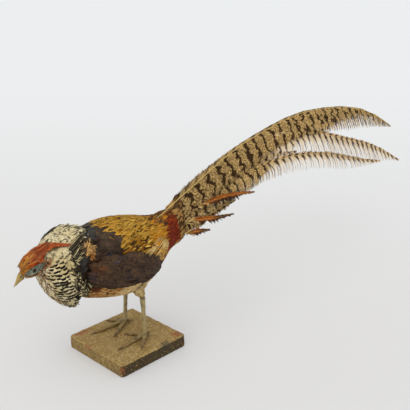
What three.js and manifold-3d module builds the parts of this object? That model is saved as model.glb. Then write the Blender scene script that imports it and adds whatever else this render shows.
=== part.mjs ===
// A mounted cock pheasant, a cross of the golden and the Lady Amherst's, on its square board.
// Millimetres, +Z up. The origin is the middle of the board's underside. The bird faces -X, its left side is -Y.
import * as THREE from "three";
import { mergeVertices } from "three/addons/utils/BufferGeometryUtils.js";
import Module from "manifold-3d";

const wasm = await Module();
wasm.setup();

// ---------- driving dimensions ----------
const gap = 0.3; // left between neighbours that touch
const ringPoints = 20; // points round a body section
const board = { side: 145, thick: 23, cornerRadius: 4, bevel: 1.6 };
const vane = { thick: 0.9, pitch: 1.3 }; // a long feather, and the step to the next one that nests in it

// Each row of a body outline: place along its axis, height above it, depth below it, half width.
const trunkRows = [
  [-126, 224, 170, 24],
  [-116, 237, 152, 38],
  [-98, 244.5, 134, 48],
  [-70, 248.5, 124, 52],
  [-40, 251.5, 115, 53],
  [-10, 249, 109, 52],
  [20, 243, 110, 48],
  [45, 236, 119, 41],
  [70, 229.5, 138, 32],
  [95.7, 231, 157, 22],
];
const tailRootRows = [
  [96, 231, 157, 22, 0],
  [108, 240, 161, 21, 0.45],
  [126, 257, 167, 22, 0.95],
];
const ruffRows = [
  [-4, 20, 18, 16.5],
  [6, 26.5, 28, 23],
  [18, 35.5, 44, 33],
  [34, 47.5, 60, 44],
  [50, 57, 70, 53],
  [66, 59, 73, 58],
];
const neckRows = [
  [-12, 13, 13, 12],
  [10, 17, 17, 16],
  [40, 24, 26, 24],
  [66, 34, 38, 32],
];
const headRows = [
  [-30, 12, 12, 11],
  [-20, 16.5, 18, 14],
  [-8, 18.5, 19, 15],
  [4, 17.5, 17, 14],
  [14, 13.5, 12.5, 10.5],
  [22.2, 7.4, 7.2, 5.6],
];
const upperBillRows = [
  [22.5, 7, 0.5, 5.2],
  [30, 4.2, 2.1, 3.8],
  [37, -0.4, 4.8, 2.2],
  [42, -5.4, 7.4, 0.8],
];
const lowerBillRows = [
  [22.5, -0.8, 6.1, 4.8],
  [30, -2.4, 6.3, 3.4],
  [35, -4.6, 7.3, 1.9],
  [38.5, -6.5, 8.1, 0.8],
];
const ruffSideLead = 28; // how far the sides of the ruff's hind edge lie ahead of its top
const headPlace = { x: -176, z: 214, dip: 26 }; // dip is in degrees below level
const neckPlace = { x: -163, z: 218, dip: 18 }; // runs back from the head
const eye = { along: 6.5, above: 1, out: 10, radius: 4.4 };

// Wing outline on the flank: x, upper edge, lower edge.
const wingRows = [
  [-113, 204, 180],
  [-98, 216, 168],
  [-80, 220, 160],
  [-55, 214, 153],
  [-30, 206, 149],
  [0, 199, 145],
  [20, 188, 141],
  [36, 174, 142],
  [44, 164, 148],
];
const wing = { proud: 5, inset: 3, points: 7 };

const legs = {
  left: { hock: [13.5, -28, 106], ankle: [18, -27, 31], thighTop: [4, -27, 140] },
  right: { hock: [24.5, 29, 106], ankle: [26, 37, 31], thighTop: [6, 27, 140] },
};
const shankRadius = { hock: 4.8, middle: 3.3, ankle: 3.6 };
const ankleRadius = 4.2;
const toeRadius = { root: 3.3, tip: 2.0 };
const clawLength = { front: 11, hind: 6.5 };
const toeTips = {
  left: { middle: [-48, -31], inner: [-6, 4], outer: [-17, -57], hind: [34, -20] },
  right: { middle: [-46, 44], inner: [-24, 8], outer: [3, 66], hind: [40, 30] },
};

// The tail's feathers: x, height of the shaft, web above it, web below it.
const tailFeathers = {
  first: [
    [126.4, 247, 10, 44],
    [159, 260, 15, 48],
    [206, 281, 12, 52],
    [251, 300, 7, 54],
    [300, 316, 4, 55],
    [350, 328, 3, 55],
    [416, 341, 3, 54],
    [483, 348, 3, 54],
    [555, 346, 3, 55],
    [632, 339, 3, 56],
    [716, 322, 3, 47],
    [786, 297, 2, 31],
    [835, 273, 1.5, 13],
    [862, 259, 1, 3],
  ],
  second: [
    [126.4, 230, 7, 30],
    [200, 264, 6, 36],
    [280, 296, 6, 42],
    [351, 314, 6, 42],
    [412, 317, 11, 42],
    [476, 309, 11, 42],
    [545, 295, 11, 44],
    [618, 273, 10, 45],
    [701, 249, 8, 42],
    [795, 214, 6, 28],
    [850, 188, 4, 12],
    [888, 169, 2, 3],
  ],
  third: [
    [126.4, 206, 7, 24],
    [200, 234, 9, 30],
    [280, 256, 9, 30],
    [340, 264, 9, 26],
    [403, 266, 9, 25],
    [435, 266, 9, 25],
    [502, 259, 9, 25],
    [574, 245, 8, 25],
    [652, 222, 7, 20],
    [716, 204, 5, 11],
    [788, 188, 2, 3],
  ],
  fourth: [
    [126.4, 188, 7, 16],
    [160, 193, 8, 18],
    [202, 203, 8, 15],
    [240, 211, 6, 9],
    [264, 214, 1.5, 2],
  ],
};
// On the right the same feathers are shorter, some being worn away.
const rightReach = { first: 760, second: 560, third: 500, fourth: 264 };
const tailRidge = tailFeathers.first;
const tailSlope = 0.22; // how far the tail's side moves out for each step down from the ridge
// Long pointed coverts that lie on the tail's sides.
const spears = {
  upper: [
    [126.4, 224, 7, 7],
    [193, 226, 9, 9],
    [234, 227, 8, 9],
    [278, 225, 5, 6],
    [312, 221, 1.5, 1.5],
  ],
  middle: [
    [126.4, 203, 7, 8],
    [160, 201, 8, 9],
    [207, 194, 6, 7],
    [249, 192, 1.5, 1.5],
  ],
  lower: [
    [126.4, 184, 6, 11],
    [156, 182, 6, 9],
    [186, 177, 1.5, 1.5],
  ],
};

// ---------- shape helpers ----------
// A smooth curve through rows whose first number is the place along it. Gives the other numbers at x.
function smooth(rows) {
  const slope = (i, k) => {
    const a = rows[Math.max(i - 1, 0)];
    const b = rows[Math.min(i + 1, rows.length - 1)];
    return (b[k] - a[k]) / (b[0] - a[0]);
  };
  return (x) => {
    let i = 0;
    while (i < rows.length - 2 && x > rows[i + 1][0]) i++;
    const [a, b] = [rows[i], rows[i + 1]];
    const h = b[0] - a[0];
    const t = THREE.MathUtils.clamp((x - a[0]) / h, 0, 1);
    const [t2, t3] = [t * t, t * t * t];
    return a.slice(1).map((_, n) => {
      const k = n + 1;
      const start = (2 * t3 - 3 * t2 + 1) * a[k] + (t3 - 2 * t2 + t) * h * slope(i, k);
      return start + (-2 * t3 + 3 * t2) * b[k] + (t3 - t2) * h * slope(i + 1, k);
    });
  };
}

// The places along rows, with extra ones between them.
function placesAlong(rows, step) {
  const places = [rows[0][0]];
  for (let i = 1; i < rows.length; i++) {
    const [a, b] = [rows[i - 1][0], rows[i][0]];
    const n = Math.max(1, Math.round((b - a) / step));
    for (let k = 1; k <= n; k++) places.push(a + ((b - a) * k) / n);
  }
  return places;
}

function solid(geometry) {
  const bare = new THREE.BufferGeometry();
  bare.setAttribute("position", geometry.getAttribute("position"));
  bare.setIndex(geometry.index);
  const merged = mergeVertices(bare, 1e-4);
  const make = (triVerts) =>
    new wasm.Manifold(
      new wasm.Mesh({ numProp: 3, vertProperties: merged.attributes.position.array, triVerts }),
    );
  const faces = new Uint32Array(merged.index.array);
  const made = make(faces);
  if (made.volume() > 0) return made;
  for (let i = 0; i < faces.length; i += 3) [faces[i], faces[i + 1]] = [faces[i + 1], faces[i]];
  return make(faces);
}

// A closed skin over rings with the same number of points, with a fan at each end.
function loft(rings) {
  const n = rings[0].length;
  const points = rings.flat();
  const faces = [];
  for (let r = 0; r + 1 < rings.length; r++)
    for (let i = 0; i < n; i++) {
      const [a, b] = [r * n + i, r * n + ((i + 1) % n)];
      faces.push(a, b, b + n, a, b + n, a + n);
    }
  for (const r of [0, rings.length - 1]) {
    const middle = rings[r].reduce((s, p) => s.add(p), new THREE.Vector3()).divideScalar(n);
    points.push(middle);
    for (let i = 0; i < n; i++) {
      const edge = [r * n + i, r * n + ((i + 1) % n)];
      faces.push(points.length - 1, ...(r ? edge : edge.reverse()));
    }
  }
  const geometry = new THREE.BufferGeometry().setFromPoints(points);
  geometry.setIndex(faces);
  return solid(geometry);
}

function geometryOf(manifold) {
  const mesh = manifold.getMesh();
  const geometry = new THREE.BufferGeometry();
  geometry.setAttribute("position", new THREE.BufferAttribute(mesh.vertProperties, 3));
  geometry.setIndex(new THREE.BufferAttribute(mesh.triVerts, 1));
  geometry.computeVertexNormals();
  return geometry;
}

const mirrored = (manifold) => manifold.mirror([0, 1, 0]);
const largest = (manifold) => manifold.decompose().sort((a, b) => b.volume() - a.volume())[0];

// One ring of a body: an oval with its own height above and depth below the axis.
function oval(place, up, down, half, grow) {
  const ring = [];
  for (let i = 0; i < ringPoints; i++) {
    const angle = (2 * Math.PI * i) / ringPoints;
    const [c, s] = [Math.cos(angle), Math.sin(angle)];
    const round = (v, e) => Math.sign(v) * Math.abs(v) ** e;
    const height = s > 0 ? up + grow : down + grow;
    ring.push(place(round(c, 0.9) * (half + grow), round(s, 0.9) * height));
  }
  return ring;
}

// Maps (along, sideways, above) of a tilted axis to the bird's own frame. dip is below level, dir is -1 forwards.
function tilted({ x, z, dip }, dir) {
  const a = THREE.MathUtils.degToRad(dip);
  return (t, y, h) =>
    new THREE.Vector3(
      x + dir * t * Math.cos(a) + dir * h * Math.sin(a),
      y,
      z - t * Math.sin(a) + h * Math.cos(a),
    );
}

// A body outline given as heights above and below an axis.
function bodyAlong(frame, rows, step, grow = 0, lead = 0) {
  const at = smooth(rows);
  const places = placesAlong(rows, step);
  const last = places[places.length - 1];
  return loft(
    places.map((t) => {
      const [up, down, half] = at(t);
      const back = lead * Math.max(0, t / last);
      const end = t === last ? grow : t === places[0] ? -grow : 0;
      return oval(
        (y, h) => frame(t + end - back * (y / half) ** 2, y, h),
        up,
        down,
        half,
        grow,
      );
    }),
  );
}

// A body outline given as the heights of its top and bottom over the floor.
const trunkAt = smooth(trunkRows);
function standing(rows, step, grow = 0) {
  const at = smooth(rows);
  const places = placesAlong(rows, step);
  return loft(
    places.map((x, i) => {
      const [top, bottom, half, pinch = 0] = at(x); // pinch makes the top narrow
      const middle = (top + bottom) / 2;
      const end = i === 0 ? -grow : i === places.length - 1 ? grow : 0;
      const reach = (top - bottom) / 2;
      const place = (y, h) => new THREE.Vector3(x + end, y * (1 - (pinch * h) / reach), middle + h);
      return oval(place, reach, reach, half * (1 - 0.5 * pinch), grow);
    }),
  );
}

// How far out the trunk's side lies at x and z.
function flank(x, z) {
  const [top, bottom, half] = trunkAt(x);
  const share = Math.min(1, Math.abs((2 * z - top - bottom) / (top - bottom)));
  return half * Math.sqrt(Math.max(0, 1 - share ** 2.3));
}

// ---------- board ----------
function makeBoard() {
  const { side, thick, cornerRadius: r, bevel } = board;
  const h = side / 2 - bevel;
  const shape = new THREE.Shape();
  shape.moveTo(-h + r, -h);
  for (const [cx, cy, from] of [
    [h - r, -h + r, -90],
    [h - r, h - r, 0],
    [-h + r, h - r, 90],
    [-h + r, -h + r, 180],
  ]) {
    const start = THREE.MathUtils.degToRad(from);
    shape.absarc(cx, cy, r, start, start + Math.PI / 2, false);
  }
  const geometry = new THREE.ExtrudeGeometry(shape, {
    depth: thick - 2 * bevel,
    bevelThickness: bevel,
    bevelSize: bevel,
    bevelSegments: 1,
    curveSegments: 4,
  });
  geometry.translate(0, 0, bevel);
  const merged = mergeVertices(geometry.deleteAttribute("normal").deleteAttribute("uv"), 1e-4);
  return solid(merged);
}

// ---------- legs and feet ----------
const vector = (p) => new THREE.Vector3(...p);

// A round limb through points, with a radius at each.
function limb(points, radii, sides = 10, perPart = 3) {
  const curve = new THREE.CatmullRomCurve3(points, false, "centripetal");
  const steps = (points.length - 1) * perPart;
  const frames = curve.computeFrenetFrames(steps, false);
  const radiusAt = smooth(radii.map((r, i) => [i / (radii.length - 1), r]));
  const rings = [];
  for (let k = 0; k <= steps; k++) {
    const centre = curve.getPoint(k / steps);
    const [radius] = radiusAt(k / steps);
    const ring = [];
    for (let i = 0; i < sides; i++) {
      const a = (2 * Math.PI * i) / sides;
      ring.push(
        centre
          .clone()
          .addScaledVector(frames.normals[k], radius * Math.cos(a))
          .addScaledVector(frames.binormals[k], radius * Math.sin(a)),
      );
    }
    rings.push(ring);
  }
  return loft(rings);
}

// A toe from the ankle to its tip on the board. share is where the fleshy part ends.
function toeLine(ankle, tip, name) {
  const floor = board.thick + gap + toeRadius.root;
  const low = board.thick + gap + toeRadius.tip;
  const [ax, ay, az] = ankle;
  const reach = Math.hypot(tip[0] - ax, tip[1] - ay);
  const fleshy = (reach - (name === "hind" ? clawLength.hind : clawLength.front)) / reach;
  const at = (s, z) => new THREE.Vector3(ax + (tip[0] - ax) * s, ay + (tip[1] - ay) * s, z);
  const lift = name === "hind" ? 2 : 0; // the hind toe sits higher up
  return {
    toe: [
      at(0, az - 2),
      at(0.22 * fleshy, floor + 1.6 + lift),
      at(0.6 * fleshy, floor + 0.2 + lift / 2),
      at(fleshy, low + 0.3),
    ],
    claw: [at(fleshy + 0.9 / reach, low + 0.3), at((fleshy + 1) / 2, low + 0.9), at(1, low - 1.1)],
  };
}

function makeFoot({ ankle }, tips) {
  const knob = new THREE.IcosahedronGeometry(ankleRadius, 2);
  knob.translate(...ankle);
  const toes = Object.entries(tips).map(([name, tip]) => {
    const line = toeLine(ankle, tip, name);
    const size = name === "hind" ? 0.8 : 1;
    const radii = [3.2, toeRadius.root, 2.9, toeRadius.tip].map((r) => r * size);
    return limb(line.toe, radii, 6, 2);
  });
  return toes.reduce((a, b) => a.add(b), solid(knob));
}

// ---------- wings ----------
// A plate that follows the trunk's side, proud of it outside and let into it inside.
function makeWing(grow = 0) {
  const at = smooth(wingRows);
  const rings = placesAlong(wingRows, 22).map((x, i, all) => {
    const end = i === 0 ? -grow : i === all.length - 1 ? grow : 0;
    const [top, bottom] = at(x);
    const outer = [];
    const inner = [];
    for (let k = 0; k < wing.points; k++) {
      const share = k / (wing.points - 1);
      const z = top + grow + (bottom - top - 2 * grow) * share;
      const edge = Math.sin(Math.PI * (0.12 + 0.76 * share)) ** 0.5; // thins towards both edges
      const y = flank(x, z);
      outer.push(new THREE.Vector3(x + end, -(y + wing.proud * edge + grow), z));
      inner.unshift(new THREE.Vector3(x + end, -(y - wing.inset * edge - grow), z));
    }
    return [...outer, ...inner];
  });
  return loft(rings);
}

// ---------- tail ----------
const ridgeAt = smooth(tailRidge);

// A feather's web as a thin sheet on one side of the tail. Layers nest inwards.
function sheet(rows, side, layer, webPoints = 4) {
  const at = smooth(rows);
  const rings = placesAlong(rows, 60).map((x) => {
    const [z, above, below] = at(x);
    const [ridge] = ridgeAt(x);
    const outer = [];
    const inner = [];
    for (let k = 0; k < webPoints; k++) {
      const height = z + above - ((above + below) * k) / (webPoints - 1);
      const slant = tailSlope * Math.max(0, ridge - height) - layer * vane.pitch;
      const y = gap / 2 + vane.thick + Math.max(slant, 0);
      outer.push(new THREE.Vector3(x, side * y, height));
      inner.unshift(new THREE.Vector3(x, side * (y - vane.thick), height));
    }
    return [...outer, ...inner];
  });
  return loft(rings);
}

// Rows cut short so that a feather ends at another place, narrowing to its tip.
function cutShort(rows, reach) {
  const first = rows[0][0];
  const share = (reach - first) / (rows[rows.length - 1][0] - first);
  const at = smooth(rows);
  return rows.map(([x, , above, below]) => {
    const here = first + (x - first) * share;
    return [here, at(here)[0], above, below];
  });
}

// ---------- the bird, node by node ----------
const colours = {
  board: [0x7d6f45, 0.95],
  shank: [0x9c9468, 0.6],
  claw: [0x3a2f22, 0.5],
  bill: [0xb5a468, 0.45],
  eye: [0x120d0a, 0.08],
  face: [0x9a6b35, 0.8],
  crest: [0xb1501a, 0.7],
  ruff: [0xcdc498, 0.85],
  trunk: [0xb98a2c, 0.85],
  wing: [0x3a2a24, 0.75],
  tailRoot: [0x7a2410, 0.8],
  tail: [0x8a7a50, 0.85],
  spear: [0xa04c18, 0.8],
};
const bird = new THREE.Group();
bird.name = "mounted_pheasant";

function add(name, manifold, look) {
  const [color, roughness] = colours[look];
  const material = new THREE.MeshStandardMaterial({ color, roughness, metalness: 0 });
  const mesh = new THREE.Mesh(geometryOf(manifold), material);
  mesh.name = name;
  bird.add(mesh);
}

add("base_board", makeBoard(), "board");

const headFrame = tilted(headPlace, -1);
const neckFrame = tilted(neckPlace, 1);
const makeHead = (grow = 0) => bodyAlong(headFrame, headRows, 9, grow);
const makeNeck = (grow = 0) => bodyAlong(neckFrame, neckRows, 30, grow);
const makeRuff = (grow = 0) => bodyAlong(neckFrame, ruffRows, 13, grow, ruffSideLead);
const makeEye = (side, grow = 0) => {
  const ball = new THREE.SphereGeometry(eye.radius + grow, 12, 8);
  const place = headFrame(eye.along, side * eye.out, eye.above);
  ball.translate(place.x, place.y, place.z);
  ball.deleteAttribute("normal").deleteAttribute("uv");
  return solid(ball);
};

let head = makeHead();
for (const side of [-1, 1]) head = head.subtract(makeEye(side, gap));
add("head", head, "face");
add("eye_left", makeEye(-1), "eye");
add("eye_right", makeEye(1), "eye");
add("bill_upper", bodyAlong(headFrame, upperBillRows, 3), "bill");
const upperBillCut = bodyAlong(headFrame, upperBillRows, 3, gap);
const lowerBill = bodyAlong(headFrame, lowerBillRows, 3).subtract(upperBillCut);
add("bill_lower", largest(lowerBill), "bill");

const trunkWhole = (grow = 0) => standing(trunkRows, 24, grow);
const neck = makeNeck().subtract(makeHead(gap)).subtract(trunkWhole(gap));
add("neck", neck, "ruff");
const ruff = makeRuff()
  .subtract(makeHead(gap))
  .subtract(makeNeck(gap))
  .subtract(trunkWhole(gap));
add("ruff", ruff, "ruff");

// The crest lies on the crown and trails over the left of the ruff.
function makeCrest() {
  const rows = [
    [-196, 0, 221, 4, 2.5],
    [-184, -1, 230, 9, 3.5],
    [-170, -5, 235.5, 11, 4],
    [-156, -13, 240.5, 9, 4.5],
    [-141, -23, 242, 6, 4],
    [-121, -31, 241, 2.4, 2],
  ];
  const curve = new THREE.CatmullRomCurve3(rows.map((r) => vector(r)), false, "centripetal");
  const widths = smooth(rows.map((r, i) => [i / (rows.length - 1), r[3], r[4]]));
  const steps = 11;
  const rings = [];
  for (let k = 0; k <= steps; k++) {
    const centre = curve.getPoint(k / steps);
    const ahead = curve.getTangent(k / steps);
    const outward = centre.clone().sub(new THREE.Vector3(centre.x + 6, 0, 205));
    outward.addScaledVector(ahead, -outward.dot(ahead)).normalize();
    const across = new THREE.Vector3().crossVectors(ahead, outward);
    const [half, deep] = widths(k / steps);
    const ring = [];
    for (let i = 0; i < 10; i++) {
      const a = (2 * Math.PI * i) / 10;
      const sag = 0.045 * (half * Math.cos(a)) ** 2; // wraps round the crown
      ring.push(
        centre
          .clone()
          .addScaledVector(across, half * Math.cos(a))
          .addScaledVector(outward, deep * Math.sin(a) - sag),
      );
    }
    rings.push(ring);
  }
  return loft(rings);
}
add("crest", largest(makeCrest().subtract(makeHead(gap)).subtract(makeRuff(gap))), "crest");

// The wings are let into the trunk.
const wingCut = makeWing(gap);
const wingLeft = makeWing().subtract(makeRuff(gap));
add("wing_left", largest(wingLeft), "wing");
add("wing_right", mirrored(largest(wingLeft)), "wing");
const makeThigh = ({ hock, thighTop }, grow = 0) => {
  const [top, low] = [vector(thighTop), vector(hock)];
  const middle = top.clone().lerp(low, 0.55);
  middle.x -= 5;
  return limb([top, middle, low], [17 + grow, 12.5 + grow, 6 + grow], 12);
};
let trunk = trunkWhole().subtract(wingCut).subtract(mirrored(wingCut));
add("trunk", largest(trunk), "trunk");
add("tail_root", standing(tailRootRows, 10), "tailRoot");

for (const [side, leg] of Object.entries(legs)) {
  const [hock, ankle] = [vector(leg.hock), vector(leg.ankle)];
  const down = ankle.clone().sub(hock).normalize();
  const top = hock.clone().addScaledVector(down, 4.2);
  const low = ankle.clone().addScaledVector(down, -ankleRadius - 2 * gap);
  const middle = top.clone().lerp(low, 0.5);
  const radii = [shankRadius.hock, shankRadius.middle, shankRadius.ankle];
  add(`shank_${side}`, limb([top, middle, low], radii, 8), "shank");
  add(`foot_${side}`, makeFoot(leg, toeTips[side]), "shank");
  const thigh = makeThigh(leg).subtract(trunkWhole(gap)).subtract(wingCut).subtract(mirrored(wingCut));
  add(`thigh_${side}`, largest(thigh), "trunk");
  for (const [name, tip] of Object.entries(toeTips[side])) {
    const size = name === "hind" ? 0.75 : 1;
    const claw = limb(toeLine(leg.ankle, tip, name).claw, [1.8 * size, 1.4 * size, 0.5], 6, 2);
    add(`claw_${side}_${name}`, claw, "claw");
  }
}

Object.entries(tailFeathers).forEach(([name, rows], layer) => {
  add(`tail_${name}_left`, sheet(rows, -1, layer), "tail");
  add(`tail_${name}_right`, sheet(cutShort(rows, rightReach[name]), 1, layer), "tail");
});
for (const [name, rows] of Object.entries(spears)) {
  add(`covert_${name}_left`, sheet(rows, -1, -1, 3), "spear");
  add(`covert_${name}_right`, sheet(rows, 1, -1, 3), "spear");
}

export default bird;
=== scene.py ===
import math
import bpy
import numpy as np
from mathutils import Matrix, Vector
from mathutils.bvhtree import BVHTree


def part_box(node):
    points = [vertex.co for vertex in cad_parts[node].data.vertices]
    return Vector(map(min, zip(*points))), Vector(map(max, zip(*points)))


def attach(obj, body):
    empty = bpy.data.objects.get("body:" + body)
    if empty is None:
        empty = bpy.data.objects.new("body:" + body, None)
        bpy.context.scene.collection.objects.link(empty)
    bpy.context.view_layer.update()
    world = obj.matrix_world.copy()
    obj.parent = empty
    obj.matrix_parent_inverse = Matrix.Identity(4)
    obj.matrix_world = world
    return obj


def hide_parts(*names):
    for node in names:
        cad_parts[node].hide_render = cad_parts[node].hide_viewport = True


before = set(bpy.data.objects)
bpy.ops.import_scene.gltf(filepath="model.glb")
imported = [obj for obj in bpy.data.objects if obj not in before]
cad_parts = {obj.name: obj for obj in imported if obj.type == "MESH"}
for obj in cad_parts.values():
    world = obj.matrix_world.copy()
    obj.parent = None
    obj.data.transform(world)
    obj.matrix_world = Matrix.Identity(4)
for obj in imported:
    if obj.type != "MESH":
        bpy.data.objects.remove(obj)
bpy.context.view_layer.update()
rng = np.random.default_rng(11)
mm = 0.001  # shapes are worked out in millimetres and stored in metres

# ---- camera first, then the room ----
shot = {
    "place": (-691.15, -858.21, 649.99),
    "heading": 46.0,  # degrees from +Y round towards +X
    "down": 19.325,
    "lens": 61.46,
}
room = {
    "floor": (0.56, 0.555, 0.548),
    "floorFarPaintedLighter": (0.62, 0.628, 0.63),
    "glow": 0.33,  # the floor glows, painted light, so shadows on it stay faint
    "air": (0.95, 0.96, 0.97),
    "airStrength": 0.70,
    "key": 1.35,
    "fill": 0.12,
}


def makeCamera():
    turn, down = math.radians(shot["heading"]), math.radians(shot["down"])
    forward = Vector((math.sin(turn) * math.cos(down), math.cos(turn) * math.cos(down), -math.sin(down)))
    lens = bpy.data.cameras.new("frontCamera")
    lens.lens, lens.sensor_width = shot["lens"], 36.0
    lens.clip_start, lens.clip_end = 0.05, 60.0
    camera = bpy.data.objects.new("frontCamera", lens)
    camera.location = Vector(shot["place"]) * mm
    camera.rotation_euler = forward.to_track_quat("-Z", "Y").to_euler()
    bpy.context.scene.collection.objects.link(camera)
    bpy.context.scene.camera = camera


# ---- small helpers for node trees ----
def node(tree, kind, **values):
    made = tree.nodes.new(kind)
    for key, value in values.items():
        setattr(made, key, value)
    return made


def feed(tree, socket, value):
    if isinstance(value, bpy.types.NodeSocket):
        tree.links.new(value, socket)
    elif isinstance(value, (tuple, list)) and len(value) == 3 and socket.type == "RGBA":
        socket.default_value = (*value, 1.0)
    else:
        socket.default_value = value


def calc(tree, operation, a, b=0.0, clamp=False):
    made = node(tree, "ShaderNodeMath", operation=operation, use_clamp=clamp)
    feed(tree, made.inputs[0], a)
    feed(tree, made.inputs[1], b)
    return made.outputs[0]


def fade(tree, value, low, high):  # 0 at low, 1 at high, smooth between
    made = node(tree, "ShaderNodeMapRange", interpolation_type="SMOOTHSTEP")
    feed(tree, made.inputs["Value"], value)
    made.inputs["From Min"].default_value = low
    made.inputs["From Max"].default_value = high
    return made.outputs["Result"]


def blendColour(tree, amount, a, b):
    made = node(tree, "ShaderNodeMix", data_type="RGBA")
    feed(tree, made.inputs["Factor"], amount)
    feed(tree, made.inputs["A"], a)
    feed(tree, made.inputs["B"], b)
    return made.outputs["Result"]


def noise(tree, vector, scale, detail=3.0, roughness=0.55, distortion=0.0):
    made = node(tree, "ShaderNodeTexNoise")
    if vector is not None:
        tree.links.new(vector, made.inputs["Vector"])
    made.inputs["Scale"].default_value = scale
    made.inputs["Detail"].default_value = detail
    made.inputs["Roughness"].default_value = roughness
    made.inputs["Distortion"].default_value = distortion
    return made.outputs["Fac"]


def bump(tree, height, strength, distance):
    made = node(tree, "ShaderNodeBump")
    made.inputs["Strength"].default_value = strength
    made.inputs["Distance"].default_value = distance
    tree.links.new(height, made.inputs["Height"])
    return made.outputs["Normal"]


def objectPlace(tree):
    return node(tree, "ShaderNodeTexCoord").outputs["Object"]


def stretched(tree, vector, scale):
    made = node(tree, "ShaderNodeMapping")
    tree.links.new(vector, made.inputs["Vector"])
    made.inputs["Scale"].default_value = scale
    return made.outputs["Vector"]


def vector3(tree, x, y, z):
    made = node(tree, "ShaderNodeCombineXYZ")
    for socket, value in zip(made.inputs, (x, y, z)):
        feed(tree, socket, value)
    return made.outputs[0]


def startMaterial(name, roughness=0.7, **constants):
    material = bpy.data.materials.new(name)
    material.use_nodes = True
    tree = material.node_tree
    tree.nodes.clear()
    shader = node(tree, "ShaderNodeBsdfPrincipled")
    out = node(tree, "ShaderNodeOutputMaterial")
    tree.links.new(shader.outputs[0], out.inputs[0])
    shader.inputs["Roughness"].default_value = roughness
    for key, value in constants.items():
        shader.inputs[key].default_value = value
    return material, tree, shader


def startGroup(name, inputs, outputs):
    group = bpy.data.node_groups.new(name, "ShaderNodeTree")
    for label, kind, value in inputs:
        socket = group.interface.new_socket(name=label, in_out="INPUT", socket_type=kind)
        if value is not None:
            socket.default_value = value
    for label, kind in outputs:
        group.interface.new_socket(name=label, in_out="OUTPUT", socket_type=kind)
    return group, node(group, "NodeGroupInput"), node(group, "NodeGroupOutput")


def useGroup(tree, group, **values):
    made = node(tree, "ShaderNodeGroup", node_tree=group)
    for key, value in values.items():
        feed(tree, made.inputs[key], value)
    return made


def barbGrainGroup():  # fine lines that run out from the shaft to the edge of a vane
    group, given, out = startGroup(
        "barbGrain",
        [("Along", "NodeSocketFloat", 0.0), ("Across", "NodeSocketFloat", 0.5), ("Seed", "NodeSocketFloat", 0.0),
         ("Lines", "NodeSocketFloat", 14.0), ("Sweep", "NodeSocketFloat", 0.5)],
        [("Shade", "NodeSocketFloat"), ("Height", "NodeSocketFloat"), ("FromShaft", "NodeSocketFloat")],
    )
    fromShaft = calc(group, "MULTIPLY", calc(group, "ABSOLUTE", calc(group, "SUBTRACT", given.outputs["Across"], 0.5)), 2.0)
    shifted = calc(group, "SUBTRACT", given.outputs["Along"], calc(group, "MULTIPLY", fromShaft, calc(group, "MULTIPLY", given.outputs["Sweep"], 0.5)))
    lines = calc(group, "MULTIPLY", shifted, given.outputs["Lines"])
    place = vector3(group, lines, calc(group, "MULTIPLY", given.outputs["Across"], 1.5), calc(group, "MULTIPLY", given.outputs["Seed"], 37.0))
    rough = noise(group, place, 1.0, 3.0, 0.7)
    wave = calc(group, "ADD", calc(group, "MULTIPLY", calc(group, "SINE", calc(group, "MULTIPLY", lines, 6.283)), 0.5), 0.5)
    height = calc(group, "ADD", calc(group, "MULTIPLY", wave, 0.5), calc(group, "MULTIPLY", rough, 0.8))
    group.links.new(fade(group, rough, 0.3, 0.72), out.inputs["Shade"])
    group.links.new(height, out.inputs["Height"])
    group.links.new(fromShaft, out.inputs["FromShaft"])
    return group


def dustGroup():  # old dust that settles on what faces up, in soft patches
    group, given, out = startGroup(
        "settledDust",
        [("Color", "NodeSocketColor", (0.5, 0.5, 0.5, 1)), ("Dust", "NodeSocketColor", (0.36, 0.27, 0.16, 1)), ("Amount", "NodeSocketFloat", 0.15)],
        [("Color", "NodeSocketColor")],
    )
    normal = node(group, "ShaderNodeSeparateXYZ")
    group.links.new(node(group, "ShaderNodeNewGeometry").outputs["Normal"], normal.inputs[0])
    up = fade(group, normal.outputs["Z"], -0.2, 0.9)
    patches = fade(group, noise(group, objectPlace(group), 55.0, 4.0, 0.6), 0.35, 0.7)
    amount = calc(group, "MULTIPLY", calc(group, "MULTIPLY", up, patches), given.outputs["Amount"], True)
    group.links.new(blendColour(group, amount, given.outputs["Color"], given.outputs["Dust"]), out.inputs["Color"])
    return group


groups = {}


def vaneValues(tree):  # what each feather's mesh carries
    def split(name):
        made = node(tree, "ShaderNodeAttribute", attribute_type="GEOMETRY", attribute_name=name)
        parts = node(tree, "ShaderNodeSeparateColor")
        tree.links.new(made.outputs["Color"], parts.inputs[0])
        return parts.outputs
    place, look = split("vane"), split("look")
    return {"along": place[0], "across": place[1], "seed": place[2], "tone": look[0], "mark": look[1], "extra": look[2]}


# ---- meshes from arrays ----
def unit(v):
    return v / np.maximum(np.linalg.norm(v, axis=-1, keepdims=True), 1e-9)


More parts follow.
